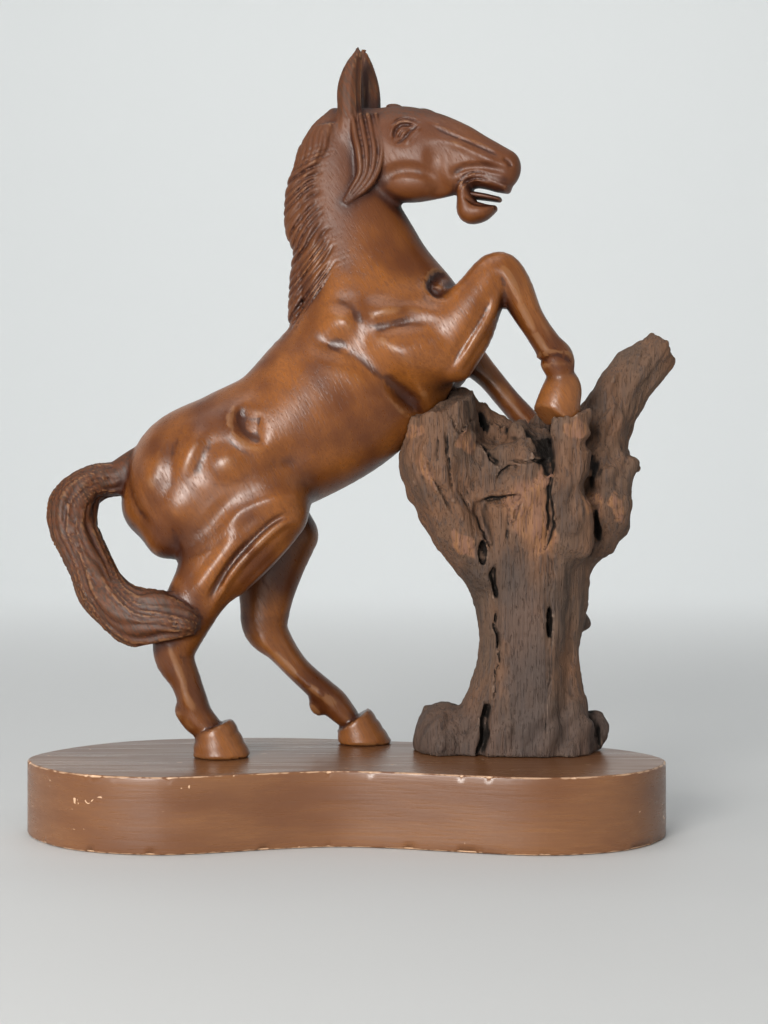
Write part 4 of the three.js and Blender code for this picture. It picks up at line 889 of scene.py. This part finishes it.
def horse_form(p):
    FORELEG_SEAM, HIND_LEG_SEAM, ERGOT_SEAM, HOOF_SEAM = 8, 15, 3, 0.6
    HEAD_SEAM, MANE_SEAM, FRINGE_SEAM, TAIL_SEAM = 4, 0.8, 0.6, 2
    LOCK_REACH = 4
    fore = carve(np.minimum(near_foreleg(p), far_foreleg(p)), p, LEG_CARVING)
    spurs = np.minimum(ergots[0](p), ergots[1](p))
    hind = melt(np.minimum(near_hind_leg(p), far_hind_leg(p)), spurs, ERGOT_SEAM)
    hind = carve(hind, p, LEG_CARVING)
    d = melt(melt(trunk(p), fore, FORELEG_SEAM), hind, HIND_LEG_SEAM)
    d = melt(d, hooves(p), HOOF_SEAM)
    d = melt(d, head(p), HEAD_SEAM)
    d = melt(d, mane_sheet(p), MANE_SEAM)
    bush = np.abs(d) < LOCK_REACH
    d[bush] -= mane_locks(p[bush])
    d = melt(d, fringe_hair(p), FRINGE_SEAM)
    return melt(d, tail(p), TAIL_SEAM)


def horse_shape(p):
    return np.maximum(horse_form(p), GLUE_LINE - p[:, 2])


CHUNK = 16000


def measure(shape, p):
    """A shape's distance at many points, worked out side by side."""
    p = np.asarray(p, np.float32)
    parts = [p[i : i + CHUNK] for i in range(0, len(p), CHUNK)]
    with ThreadPoolExecutor(4) as pool:
        return np.concatenate(list(pool.map(shape, parts)))


def skin_of(shape, low, high, cell):
    """Closed faces on the surface of a shape. A coarse grid finds where the surface runs, and only
    the fine grid points close to it are measured."""
    COARSE = 4
    BAND = 1.7  # coarse cells on each side of the surface
    low = np.array(low, float)
    counts = np.ceil((np.array(high) - low) / (cell * COARSE)).astype(int) + 1
    axes = [low[i] + cell * COARSE * np.arange(counts[i]) for i in range(3)]
    corners = np.stack(np.meshgrid(*axes, indexing="ij"), -1).reshape(-1, 3)
    rough = measure(shape, corners).reshape(counts)
    fine = rough.repeat(COARSE, 0).repeat(COARSE, 1).repeat(COARSE, 2)
    band = np.abs(fine) < BAND * COARSE * cell
    start = low - cell * (COARSE // 2)
    fine[band] = measure(shape, start + cell * np.argwhere(band))
    background = 4 * cell
    volume = openvdb.FloatGrid(background)
    volume.copyFromArray(np.clip(fine, -background, background).astype(np.float32))
    points, triangles, quads = volume.convertToPolygons(isovalue=0.0, adaptivity=0.0)
    faces = triangles.tolist() + quads.tolist()
    return start + cell * points, faces


def split_faces(points, faces, wanted):
    """The same skin with the wanted faces split in four."""
    mesh = bpy.data.meshes.new("skin")
    mesh.from_pydata(points, [], faces)
    skin = bmesh.new()
    skin.from_mesh(mesh)
    bpy.data.meshes.remove(mesh)
    skin.faces.ensure_lookup_table()
    edges = {edge for index in np.flatnonzero(wanted) for edge in skin.faces[index].edges}
    bmesh.ops.subdivide_edges(skin, edges=list(edges), cuts=1, use_grid_fill=True)
    bmesh.ops.triangulate(skin, faces=[face for face in skin.faces if len(face.verts) > 4])
    skin.verts.index_update()
    points = np.array([vertex.co for vertex in skin.verts])
    faces = [[vertex.index for vertex in face.verts] for face in skin.faces]
    skin.free()
    return points, faces


def centres_of(points, faces):
    return np.array([points[face].mean(0) for face in faces])


def evened(points, faces, rounds):
    """Points moved towards the middle of their neighbours, so that the faces are of like size."""
    pairs = np.vstack([np.column_stack([face, np.roll(face, -1)]) for face in faces])
    for _ in range(rounds):
        total = np.zeros_like(points)
        count = np.zeros(len(points))
        np.add.at(total, pairs[:, 0], points[pairs[:, 1]])
        np.add.at(count, pairs[:, 0], 1)
        points = points + 0.5 * (total / count[:, None] - points)
    return points


def settled(shape, points, rounds=2, step=0.25):
    """Points moved onto the surface of a shape."""
    LEAST_SLOPE = 0.3
    for _ in range(rounds):
        here = measure(shape, points)
        rises = [(measure(shape, points + step * axis) - here) / step for axis in np.eye(3)]
        out = np.column_stack(rises)
        steep = np.maximum((out**2).sum(1), LEAST_SLOPE)
        points = points - out * (np.clip(here, -1, 1) / steep)[:, None]
    return points


def outward_of(points, faces):
    """Outward direction of a skin at each of its points."""
    total = np.zeros_like(points)
    for count in (3, 4):
        ring = np.array([face for face in faces if len(face) == count])
        if len(ring):
            across = points[ring[:, 2]] - points[ring[:, 0]]
            facing = np.cross(across, points[ring[:, count - 1]] - points[ring[:, 1]])
            for corner in ring.T:
                np.add.at(total, corner, facing)
    return total / np.maximum(np.linalg.norm(total, axis=1), 1e-9)[:, None]


def recess_of(shape, points, outward):
    """How shut in each point is, from 0 in the open to 1 in a deep groove."""
    PROBES = ((2.5, 0.25), (7, 0.4), (16, 0.35))  # distance out from the point, and weight
    shut = np.zeros(len(points))
    for distance, weight in PROBES:
        clear = measure(shape, points + outward * distance) / distance
        shut += weight * (1 - np.clip(clear, 0, 1))
    return shut


def ridge_of(points, faces, outward):
    """How proud each point stands of those around it: positive on a ridge, negative in a groove."""
    smooth = evened(points, faces, 2)
    return ((points - smooth) * outward).sum(1)


HORSE_CELL = 2.3
HORSE_LOW, HORSE_HIGH = (-160, -50, -6), (130, 45, 364)
TONGUE_CELL = 0.7
TONGUE_LOW, TONGUE_HIGH = (50, -36, 268), (90, -4, 292)
# Where a value of the finish starts and where it is full, by distance or by height
DARKENING_HEIGHTS = (235, 290)
EAR_TIPS = (314, 324)
HAIR_EDGE = (1.2, 0.1)
HOOF_EDGE = (0.8, 0.2)
MANE_SHARE, EAR_SHARE = 0.4, 0.7  # how hairy they look beside the tail


def seen_within(p, centre, sizes):
    return np.hypot((p[:, 0] - centre[0]) / sizes[0], (p[:, 2] - centre[1]) / sizes[1]) < 1


def wants_detail(p):
    THIGH_CORDS = ((-44, 102), (32, 34))
    FOREARM_EDGES = ((62, 212), (22, 32))
    NEAR_LEVEL = -24
    DETAIL_REACH = 1.2
    carved = seen_within(p, *THIGH_CORDS) | seen_within(p, *FOREARM_EDGES)
    detailed = np.minimum.reduce([head(p), mane(p), tail(p), hooves(p)]) < DETAIL_REACH
    return detailed | (carved & (p[:, 1] < NEAR_LEVEL))


def wants_fine_detail(p):
    EYE_X, EYE_Z, EYE_REACH = 28.5, 312, 10
    MOUTH_BACK, MOUTH_LOW, MOUTH_HIGH = 58, 265, 297
    LOCKS_INNER, LOCKS_FIRST = -0.1, 0.1
    HAIR_REACH = 0.8
    eye = np.hypot(p[:, 0] - EYE_X, p[:, 2] - EYE_Z) < EYE_REACH
    mouth = (p[:, 0] > MOUTH_BACK) & (p[:, 2] > MOUTH_LOW) & (p[:, 2] < MOUTH_HIGH)
    start, across = mane_spots(p)
    locks = (mane_sheet(p) < HAIR_REACH) & (across > LOCKS_INNER) & (start > LOCKS_FIRST)
    return eye | mouth | locks | (fringe_hair(p) < HAIR_REACH)


def horse_skin():
    points, faces = skin_of(horse_shape, HORSE_LOW, HORSE_HIGH, HORSE_CELL)
    points, faces = split_faces(points, faces, measure(wants_detail, centres_of(points, faces)))
    points = evened(points, faces, 2)
    points, faces = split_faces(points, faces, measure(wants_fine_detail, centres_of(points, faces)))
    points = settled(horse_shape, evened(points, faces, 1))
    tongue_points, tongue_faces = skin_of(tongue_shape, TONGUE_LOW, TONGUE_HIGH, TONGUE_CELL)
    faces = faces + [[corner + len(points) for corner in face] for face in tongue_faces]
    points = np.vstack([points, tongue_points])
    outward = outward_of(points, faces)
    locks = MANE_SHARE * ease_between(*HAIR_EDGE, measure(mane, points))
    tail_hair = ease_between(*HAIR_EDGE, measure(tail, points))
    ear_tips = EAR_SHARE * ease_between(*EAR_TIPS, points[:, 2])
    values = {
        "recess": recess_of(horse_shape, points, outward),
        "ridge": ridge_of(points, faces, outward),
        "head_darkening": ease_between(*DARKENING_HEIGHTS, points[:, 2]),
        "hair": np.maximum.reduce([locks, tail_hair, ear_tips]),
        "hoof": ease_between(*HOOF_EDGE, measure(hooves, points)),
    }
    return points + FIGURE_ORIGIN, faces, values


def polished_wood():
    GOLDEN = (0.245, 0.080, 0.014, 1)
    BROWN = (0.098, 0.026, 0.0045, 1)
    RED_BROWN = (0.036, 0.008, 0.0025, 1)
    PORE_AND_SHADE_BLACK = (0.011, 0.004, 0.002, 1)
    HAIR = (0.030, 0.014, 0.007, 1)
    RUBBED = (0.27, 0.125, 0.050, 1)
    HORN = (0.25, 0.125, 0.062, 1)
    material, tree, shader, place = new_finish("polished wood")
    turned = add(tree, "Mapping", {"Vector": place, "Rotation": (0, math.radians(-60), 0)}).outputs[0]
    grain = placed(tree, wood_grain, {"Place": scaled(tree, turned, (36, 46, 46))})
    masks = ("recess", "ridge", "hair", "head_darkening", "hoof")
    recess, ridge, hair_mask, head_darkening, hoof = (painted(tree, name) for name in masks)
    tone = mixed(tree, grain["Clouds"], BROWN, GOLDEN)
    tone = laid(tree, tone, BROWN, grain["Streaks"], 0.35, 0.7, 0.4)
    tone = laid(tree, tone, RED_BROWN, grain["Pores"], most=0.28)
    hairy = laid(tree, HAIR, BROWN, grain["Streaks"], 0.3, 0.7)
    # Head and neck: darker, towards brown, with height; the same value makes them rougher below.
    tone = laid(tree, tone, BROWN, head_darkening, most=0.75)
    tone = laid(tree, tone, hairy, hair_mask, most=0.9)
    tone = laid(tree, tone, HORN, hoof, most=0.15)
    # Recesses and grooves go red-brown: stain pooled in the hollows, together with painted shade. The
    # deepest recesses go near-black, which is painted shade.
    tone = laid(tree, tone, RED_BROWN, recess, 0.12, 0.46, 0.9)
    tone = laid(tree, tone, RED_BROWN, ridge, -0.03, -0.18, 0.8)
    tone = laid(tree, tone, PORE_AND_SHADE_BLACK, recess, 0.5, 0.85)
    rubbing = {"Place": scaled(tree, place, (90, 90, 90)), "Low": 0.03, "High": 0.16}
    rub = placed(tree, rubbed_edges, {"Ridge": ridge, **rubbing})
    tone = laid(tree, tone, RUBBED, rub["Mask"], most=0.45)
    gloss = ranged(tree, grain["Streaks"], 0.3, 0.7, 0.27, 0.36)
    for mask, rougher in ((hair_mask, 0.22), (head_darkening, 0.14), (grain["Pores"], 0.12)):
        gloss = added(tree, gloss, ranged(tree, mask, 0, 1, 0, rougher))
    shader.inputs["Specular IOR Level"].default_value = 0.42
    height = added(tree, grain["Streaks"], ranged(tree, grain["Pores"], 0, 1, 0, -0.8))
    surfaced(tree, shader, tone, gloss, height, 0.2, 0.0004)
    return material


horse = new_piece("horse_carving", *horse_skin())
horse.data.materials.append(polished_wood())
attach(horse, "root")
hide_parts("horse")

# Stump: a weathered root end, left as it grew, with its bark off. It is glued to the plinth, and the
# horse leans on it. Rot and boring beetles have left cracks, holes and a broken patch of fresher wood.

# The trunk was split into planks: its faces meet at these angles around it, in degrees from +x
PLANK_EDGES = np.array([-230, -165, -126, -68, -22, 40, 84, 130, 195])
PLANK_RADIUS = 28
PLANK_TWIST = 5
PLANK_SHARE = 0.7  # how much of the flatness is left by weathering


def plank_faces(along, up, across):
    angle = np.degrees(np.arctan2(across, up)) + PLANK_TWIST * np.sin(along * 5 + 1)
    which = np.clip(np.searchsorted(PLANK_EDGES, angle), 1, len(PLANK_EDGES) - 1)
    half = np.radians(PLANK_EDGES[which] - PLANK_EDGES[which - 1]) / 2
    middle = np.radians(PLANK_EDGES[which] + PLANK_EDGES[which - 1]) / 2
    flat = PLANK_RADIUS * (np.cos(half) / np.cos(np.radians(angle) - middle) - 1) + 1
    return PLANK_SHARE * flat * ease_between(0.1, 0.4, along)


stump_trunk = limb([
    (86, -4, -8, 42, 21),
    (90, -3, 10, 36, 21.5),
    (92, -1, 25, 31, 23.5),
    (93, 2, 51, 26.2, 26),
    (94, 4, 77, 29.8, 28),
    (91, 4, 102, 35, 29),
    (84, 4, 124, 42, 30),
    (80, 4, 138, 38, 28),
], plank_faces)
branch = limb([
    (126, 7, 120, 14, 18),
    (130, 9, 142, 15.5, 18),
    (133, 11, 166, 14.5, 15),
    (141, 12, 183, 13.6, 12),
    (150, 12, 194.5, 12.6, 11),
    (160, 12, 202.5, 11.5, 10),
])
lump = limb([
    (71, 0, 92, 12, 20),
    (61, -2, 112, 16, 22),
    (51.5, -3, 132, 18, 24),
    (47.5, -3, 148, 20.5, 25),
    (47, -3, 163, 19.5, 24),
    (47, -3, 177, 18, 22),
])
peg = limb([
    (112, -14, 108, 12, 14),
    (112, -17, 140, 10, 12),
    (111.5, -21, 160, 9.5, 10),
    (111.5, -21, 174, 9, 9),
])
back_wall = limb([
    (58, 13, 180, 6, 7),
    (72, 14, 170, 6.5, 7),
    (86, 13, 157, 8, 8),
    (96, 12, 146, 9, 9),
])
foot_lobe = oval((49, 2, 4), (15, 22, 21))
back_foot = oval((110, 2, 2), (17, 11, 17), -20)
side_growth = limb([
    (143, 2, 146, 6, 8),
    (137, 0, 138, 9, 10),
    (136, -2, 122, 9, 10),
    (129, 2, 107, 8, 9),
    (119, 4, 94, 5, 7),
])
knobs = [
    oval((144, 3, 145), (6, 6, 4), -10),
    oval((116, 6, 66), (6, 8, 10), 80),
    oval((128, 3, 12), (6.5, 7, 7)),
    oval((111, -9, 2), (13, 13, 30), 0),
    oval((88, -6, 160), (6, 8, 8)),
    oval((100, 12, 165), (7, 7, 7)),
]
hollow_top = oval((79, -12, 168), (12, 15, 15), -30)


STUMP_CARVING = [
    # Broad flutes and the arris down the right of the column
    (NEAR, crease([(103, 142), (102.5, 125), (102.5, 90), (101.5, 48), (99, 19), (98, -6)],
                  (12, 1.2), (5, -1.2), 0.6)),
    (NEAR, crease([(58, 150), (62, 128), (70, 112), (76, 92)], (9, -2), (9, -3), 2)),
    (NEAR, crease([(111, 96), (112, 60), (110, 30), (108, -6)], (6, -1.6), ease=2)),
    (FAR, crease([(80, 140), (84, 90), (80, 40), (70, -10)], (8, -4))),
    (FAR, crease([(108, 130), (100, 90), (104, 40), (110, -10)], (8, -4))),
    # Splits along the grain
    (NEAR, crease([(50.2, 168), (50.7, 152.7), (51.7, 140), (53, 131)], (1, -1.8), ease=0.5)),
    (NEAR, crease([(46.2, 160), (46.2, 152.7), (45.6, 146)], (1, -1.6), ease=0.5)),
    (NEAR, crease([(48, 164), (52.2, 168), (54.2, 163), (57, 160), (60, 166), (66, 170)],
                  (1.2, -2), (3, 1), 0.5)),
    (NEAR, crease([(53.5, 135.5), (59.1, 127.9), (64, 121)], (1, -1.4), ease=0.5)),
    (NEAR, crease([(81, 146), (88.9, 147.8), (96.3, 148.3), (102, 147.8)], (1.3, -2), (1.8, -2), 0.6)),
    (NEAR, crease([(64, 127), (71.5, 130.4), (77.5, 130.9), (89, 130.2)], (3, 1.5), (7, -3.6), 0.8)),
    (NEAR, crease([(72, 138), (79.9, 143.8), (90, 146)], (2, 1), (6, -2.6), 0.7)),
    (NEAR, crease([(105.2, 149), (101.7, 135.4), (101.2, 128), (102.7, 119), (100.8, 105.7), (94, 95)],
                  (3, 0.8), (9, -1.6), 0.7)),
    (NEAR, crease([(88.5, 128), (83.9, 122), (82.2, 112)], (1.1, -1.6), ease=0.6)),
    (NEAR, crease([(80.4, 131), (80.8, 118), (79.5, 104)], (1.2, -1.6), ease=0.6)),
    (NEAR, crease([(75, 97), (73.6, 90), (74.5, 84), (76.5, 78)], (2, -3.4), ease=0.7)),
    (NEAR, crease([(76.5, 74), (75, 66), (76.5, 58), (75.5, 52)], (1.4, -2.6), ease=0.6)),
    (NEAR, crease([(75.5, 56), (76, 47.7), (75, 36), (72.5, 24)], (0.9, -1.6), ease=0.5)),
    (NEAR, crease([(73, 30), (69.5, 16.5), (68.5, 6.6), (67, -9)], (3.4, -6), ease=0.8)),
    (NEAR, crease([(68, 158), (69.5, 151), (73.5, 146), (78, 145)], (3, -2.5), (4, 1.5), 0.8)),
    (NEAR, crease([(40, 160), (39, 150), (42, 140), (48, 128), (56, 112)], (4, -0.8), (4, 1), 0.8)),
    # Hollows and swellings
    (NEAR, mound((68, 117), (5, 16), 14, -5)),
    (NEAR, mound((79, 152), (8, 8), 0, 2.6)),
    (NEAR, mound((122, 134), (7, 9), 0, -6)),
    (NEAR, mound((123.5, 157), (9, 5), 32, -8)),
    (NEAR, mound((126, 116), (3, 10), 0, -6)),
    (NEAR, mound((149, 195), (13, 3), 40, -3)),
    (NEAR, mound((160, 200.5), (10, 2.6), 35, -3)),
]
# Beetle and knot holes: place in the side view, half-sizes and depth
HOLES = [
    ((68.1, 101.7), (2.4, 7), 16),
    ((101.7, 147.8), (1.7, 1.7), 9),
    ((101.2, 67), (1.5, 8.5), 14),
    ((70, 68), (1.6, 1.8), 8),
    ((84.9, 74.4), (1.4, 1.3), 7),
    ((121.1, 131.9), (2.2, 2), 9),
    ((58.6, 168.1), (1.2, 1.2), 5),
    ((75.4, 57), (1.3, 4.5), 9),
]
# Broken ends: a point and the way it faces
CROWN_TOP = ((27.8, -25, 166), (-0.33, -0.24, 1))
PEG_TOP = ((112, -21, 170.5), (-0.15, -0.1, 1))
BRANCH_END = ((167.5, 12, 205.5), (0.75, 0, 0.66))
HORSE_CLEARANCE = 0.5
GNARL_HEIGHT = 1.6


def stump_form(p):
    BRANCH_SEAM, WALL_SEAM, FOOT_SEAM, HOLLOW_EASE = 9, 4, 5, 3
    CROWN_SEAM, PEG_SEAM, KNOB_SEAM = 4, 6, 4
    crown = np.maximum(lump(p), slice_off(p, *CROWN_TOP))
    stub = np.maximum(peg(p), slice_off(p, *PEG_TOP))
    bough = np.maximum(branch(p), slice_off(p, *BRANCH_END))
    d = melt(stump_trunk(p), bough, BRANCH_SEAM)
    d = melt(d, back_wall(p), WALL_SEAM)
    d = melt(d, np.minimum(foot_lobe(p), back_foot(p)), FOOT_SEAM)
    d = gouge(d, hollow_top(p), HOLLOW_EASE)
    d = melt(d, crown, CROWN_SEAM)
    d = melt(d, stub, PEG_SEAM)
    d = melt(d, np.minimum.reduce([side_growth(p)] + [knob(p) for knob in knobs]), KNOB_SEAM)
    strayed = p + 1.5 * stray(p / 10) + 0.7 * stray(p / 3.6 + 7)
    return carve(d, strayed, STUMP_CARVING, bare=2, fade=6) - GNARL_HEIGHT * gnarl(p)


def stray(p):
    """Sideways wander of a line, from -1 to 1."""
    return np.column_stack([mottle(p + 11), np.zeros(len(p)), mottle(p + 53)]).astype(np.float32)


FOOT_GNARL = 1.6  # how much rougher the foot is than the top


def gnarl(p):
    """Weathered lumps, a few millimetres high and a few centimetres apart, at the top and the foot."""
    x, y, z = p.T
    a = np.sin(x * 0.31 + 2 * np.sin(z * 0.11 + 1))
    b = np.sin(y * 0.29 + z * 0.13 + 2 * np.sin(x * 0.09))
    c = np.sin(z * 0.21 - x * 0.17 + 1.5 * np.sin(y * 0.15 + 2))
    return (ease_between(60, 120, z) + FOOT_GNARL * ease_between(40, 10, z)) * (a * b + b * c + c * a) / 3


def with_grain(p):
    """Places sheared so that the growth of the column, the branch and the lump runs up in z."""
    BRANCH_LEAN, BRANCH_FOOT = 0.5, 140
    LUMP_LEAN, LUMP_FOOT = 0.4, 85
    x, y, z = p.T
    branch_lean = BRANCH_LEAN * np.maximum(0, z - BRANCH_FOOT) * ease_between(112, 126, x)
    lump_lean = LUMP_LEAN * np.maximum(0, z - LUMP_FOOT) * ease_between(78, 62, x)
    return np.column_stack([x - branch_lean + lump_lean, y, z])


def fibres(p):
    """Relief of weathered fibres: cords with sharp valleys, on coarse and fine scales, and the knurls
    of the branch."""
    CORD_DEPTH, THREAD_DEPTH, GRIT_DEPTH, KNURL_HEIGHT = 1.9, 1.1, 0.25, 1.4
    MEAN = 0.3  # of the cords and threads, so that they add no bulk
    g = with_grain(p)
    bend = 2.2 * mottle(p / 17)[:, None] * np.array([1.0, 1.0, 0.0])
    cords = np.abs(mottle((g + bend) / np.array([9, 9, 90])))
    threads = np.abs(mottle((g + bend) / np.array([3.4, 3.4, 34]) + 40))
    grit = mottle(p / 2.2 + 80)
    rough = 0.5 + 0.5 * ease_between(70, 130, p[:, 2]) + 0.4 * ease_between(40, 10, p[:, 2])
    knurl = mottle(p / 8 + 20) * ease_between(112, 128, p[:, 0]) * ease_between(85, 105, p[:, 2])
    cut = CORD_DEPTH * (cords - MEAN) + THREAD_DEPTH * (threads - MEAN)
    return rough * cut + GRIT_DEPTH * grit + KNURL_HEIGHT * knurl


def stump_shape(p):
    FIBRE_REACH = 5
    HOLE_LEVEL = -27
    d = stump_form(p)
    close = np.abs(d) < FIBRE_REACH
    q = p[close]
    fine = d[close] - fibres(q)
    for (x, z), (wide, tall), deep in HOLES:
        fine = np.maximum(fine, -oval((x, HOLE_LEVEL, z), (wide, deep, tall))(q))
    d[close] = np.maximum(fine, HORSE_CLEARANCE - horse_form(q))
    return np.maximum(d, GLUE_LINE - p[:, 2])


STUMP_CELL = 1.0
STUMP_LOW, STUMP_HIGH = (20, -45, -6), (178, 50, 222)
# Fresh, tan wood: place in the side view, half-sizes and pitch
FRESH_PATCHES = [
    ((92, 120), (17, 30), 12),
    ((99, 138), (7, 12), -25),
    ((40, 143), (5, 15), 28),
    ((33, 162), (6, 5), 20),
    ((124, 126), (7, 10), 0),
    ((135, 124), (5, 12), 0),
    ((158, 199), (12, 8), 30),
    ((113, 164), (7, 6), 0),
    ((60, 158), (7, 8), 0),
    ((58, 106), (4, 12), 35),
]
FRESH_SHARE = 2.2
# Bleached front of the column, in the same way
BLEACHED = ((89, 46), (15, 66), 3)
BLEACHED_SHARE = 1.8
NEAR_SIDE = (2, -8)  # where the near side starts, and where it is past doubt


def stump_skin():
    points, faces = skin_of(stump_shape, STUMP_LOW, STUMP_HIGH, STUMP_CELL)
    points = settled(stump_shape, evened(points, faces, 1), 1)
    points[:, 2] = np.maximum(points[:, 2], GLUE_LINE)
    outward = outward_of(points, faces)
    strayed = points + 3 * stray(points / 9) + 1.5 * stray(points / 3)
    fresh = np.zeros(len(points))
    for centre, sizes, pitch in FRESH_PATCHES:
        fresh = np.maximum(fresh, mound(centre, sizes, pitch, FRESH_SHARE)(strayed))
    near = ease_between(*NEAR_SIDE, points[:, 1])
    bleached = np.clip(mound(*BLEACHED, BLEACHED_SHARE)(strayed), 0, 1)
    values = {
        "recess": recess_of(stump_shape, points, outward),
        "ridge": ridge_of(points, faces, outward),
        "fresh": np.clip(fresh * near, 0, 1),
        "foot": ease_between(45, 5, points[:, 2]),
        "bleached": bleached * near,
    }
    return points + FIGURE_ORIGIN, faces, values


def weathered_wood():
    GREY = (0.108, 0.066, 0.044, 1)
    UMBER = (0.150, 0.074, 0.040, 1)
    ASH = (0.070, 0.053, 0.047, 1)
    TAN = (0.25, 0.118, 0.052, 1)
    ROSE = (0.20, 0.100, 0.064, 1)
    PORE_AND_SHADE_BLACK = (0.008, 0.0055, 0.004, 1)
    DIRT = (0.050, 0.034, 0.026, 1)
    PALE = (0.27, 0.185, 0.135, 1)
    material, tree, shader, place = new_finish("weathered wood")
    turned = add(tree, "Mapping", {"Vector": place, "Rotation": (0, math.radians(90), 0)}).outputs[0]
    grain = placed(tree, wood_grain, {"Place": scaled(tree, turned, (24, 42, 42))})
    masks = ("recess", "ridge", "foot", "bleached", "fresh")
    recess, ridge, foot, bleached, fresh = (painted(tree, name) for name in masks)
    tone = mixed(tree, grain["Clouds"], GREY, UMBER)
    dirt_place = scaled(tree, place, (34, 34, 22))
    dirt = add(tree, "TexNoise", {"Vector": dirt_place, "Scale": 1, "Detail": 4}).outputs["Fac"]
    tone = laid(tree, tone, DIRT, dirt, 0.48, 0.66, 0.65)
    tone = laid(tree, tone, ASH, foot, most=0.6)
    tone = laid(tree, tone, ASH, bleached, most=0.6)
    tone = laid(tree, tone, ASH, grain["Streaks"], 0.45, 0.7, 0.6)
    torn_place = scaled(tree, place, (150, 150, 110))
    torn = placed(tree, rubbed_edges, {"Ridge": fresh, "Place": torn_place, "Low": 0.1, "High": 0.62})
    torn_tone = laid(tree, TAN, ROSE, grain["Streaks"], 0.35, 0.6)
    tone = laid(tree, tone, torn_tone, torn["Mask"], most=0.9)
    rub = placed(tree, rubbed_edges, {"Ridge": ridge, "Place": torn_place, "Low": 0.04, "High": 0.22})
    tone = laid(tree, tone, PALE, rub["Mask"], most=0.5)
    # Pores are darkened near-black, as in the wood itself. Grooves and recesses are darkened near-black
    # too, as painted shade.
    tone = laid(tree, tone, PORE_AND_SHADE_BLACK, grain["Pores"], most=0.2)
    tone = laid(tree, tone, PORE_AND_SHADE_BLACK, ridge, -0.06, -0.32, 0.8)
    tone = laid(tree, tone, PORE_AND_SHADE_BLACK, recess, 0.26, 0.68)
    gloss = ranged(tree, grain["Streaks"], 0.3, 0.7, 0.62, 0.8)
    shader.inputs["Specular IOR Level"].default_value = 0.22
    height = added(tree, grain["Streaks"], ranged(tree, grain["Pores"], 0, 1, 0, -0.8))
    surfaced(tree, shader, tone, gloss, height, 0.7, 0.001)
    return material


stump = new_piece("stump_wood", *stump_skin())
stump.data.materials.append(weathered_wood())
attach(stump, "root")
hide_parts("stump")

# Floor and light: a plain pale floor that curves up into a pale wall far behind on every side, one
# large soft lamp at the front left, weaker ones above and at the right, and one on the wall behind.

FLOOR_TURNS = 96
FLOOR_RADIUS = 2.4
FLOOR_DROP = 0.0002  # keeps the floor clear of the plinth's underside
BEND_RADIUS = 1.6
BEND_STEPS = 12
WALL_TOP = 2.6
floor_profile = [(0.6, 0.0), (1.6, 0.0), (FLOOR_RADIUS, 0.0)]
for step in range(1, BEND_STEPS + 1):
    bend = math.pi / 2 * step / BEND_STEPS
    out = FLOOR_RADIUS + BEND_RADIUS * math.sin(bend)
    floor_profile.append((out, BEND_RADIUS - BEND_RADIUS * math.cos(bend)))
floor_profile.append((FLOOR_RADIUS + BEND_RADIUS, WALL_TOP))
floor_points = [(0.0, 0.0, -FLOOR_DROP)]
for radius, height in floor_profile:
    for turn in range(FLOOR_TURNS):
        angle = 2 * math.pi * turn / FLOOR_TURNS
        floor_points.append((radius * math.cos(angle), radius * math.sin(angle), height - FLOOR_DROP))
floor_faces = [(0, 1 + turn, 1 + (turn + 1) % FLOOR_TURNS) for turn in range(FLOOR_TURNS)]
for ring in range(len(floor_profile) - 1):
    for turn in range(FLOOR_TURNS):
        a = 1 + ring * FLOOR_TURNS + turn
        b = 1 + ring * FLOOR_TURNS + (turn + 1) % FLOOR_TURNS
        floor_faces.append((a, a + FLOOR_TURNS, b + FLOOR_TURNS, b))
floor_mesh = bpy.data.meshes.new("floor")
floor_mesh.from_pydata(floor_points, [], floor_faces)
floor_mesh.shade_smooth()
floor = bpy.data.objects.new("floor", floor_mesh)
bpy.context.collection.objects.link(floor)
FLOOR_NEAR = (0.62, 0.62, 0.61, 1)
FLOOR_AWAY = (0.90, 0.91, 0.90, 1)
floor_paint, floor_tree, floor_shader, floor_place = new_finish("pale floor")
away = add(floor_tree, "VectorMath", {0: floor_place}, operation="LENGTH").outputs["Value"]
floor_tone = laid(floor_tree, FLOOR_NEAR, FLOOR_AWAY, away, 0.5, 2.6)
floor_tree.links.new(floor_tone, floor_shader.inputs["Base Color"])
floor_shader.inputs["Roughness"].default_value = 0.7
floor_mesh.materials.append(floor_paint)

world = bpy.data.worlds.new("studio")
bpy.context.scene.world = world
world.use_nodes = True
sky = world.node_tree.nodes["Background"]
sky.inputs["Color"].default_value = (0.94, 0.97, 1.0, 1)
sky.inputs["Strength"].default_value = 0.36


def soft_lamp(name, place, aim, size, power, colour):
    data = bpy.data.lights.new(name, "AREA")
    data.size = size
    data.energy = power
    data.color = colour
    lamp = bpy.data.objects.new(name, data)
    lamp.location = place
    toward = np.array(aim) - np.array(place)
    flat = math.hypot(toward[0], toward[1])
    lamp.rotation_euler = (math.atan2(flat, -toward[2]), 0, math.atan2(-toward[0], toward[1]))
    bpy.context.collection.objects.link(lamp)


FIGURE_MIDDLE = (0, 0, 0.2)
soft_lamp("key lamp", (-0.6, -1.4, 0.42), FIGURE_MIDDLE, 0.6, 27, (1.0, 0.98, 0.95))
soft_lamp("top lamp", (-0.3, -0.2, 1.8), FIGURE_MIDDLE, 1.2, 9, (0.97, 0.99, 1.0))
soft_lamp("fill lamp", (1.3, -1.0, 0.7), FIGURE_MIDDLE, 1.0, 1, (0.95, 0.97, 1.0))
soft_lamp("wall lamp", (0, 1.4, 2.3), (0, 3.6, 0.5), 1.5, 25, (0.97, 0.99, 1.0))
bpy.context.scene.view_settings.view_transform = "Standard"
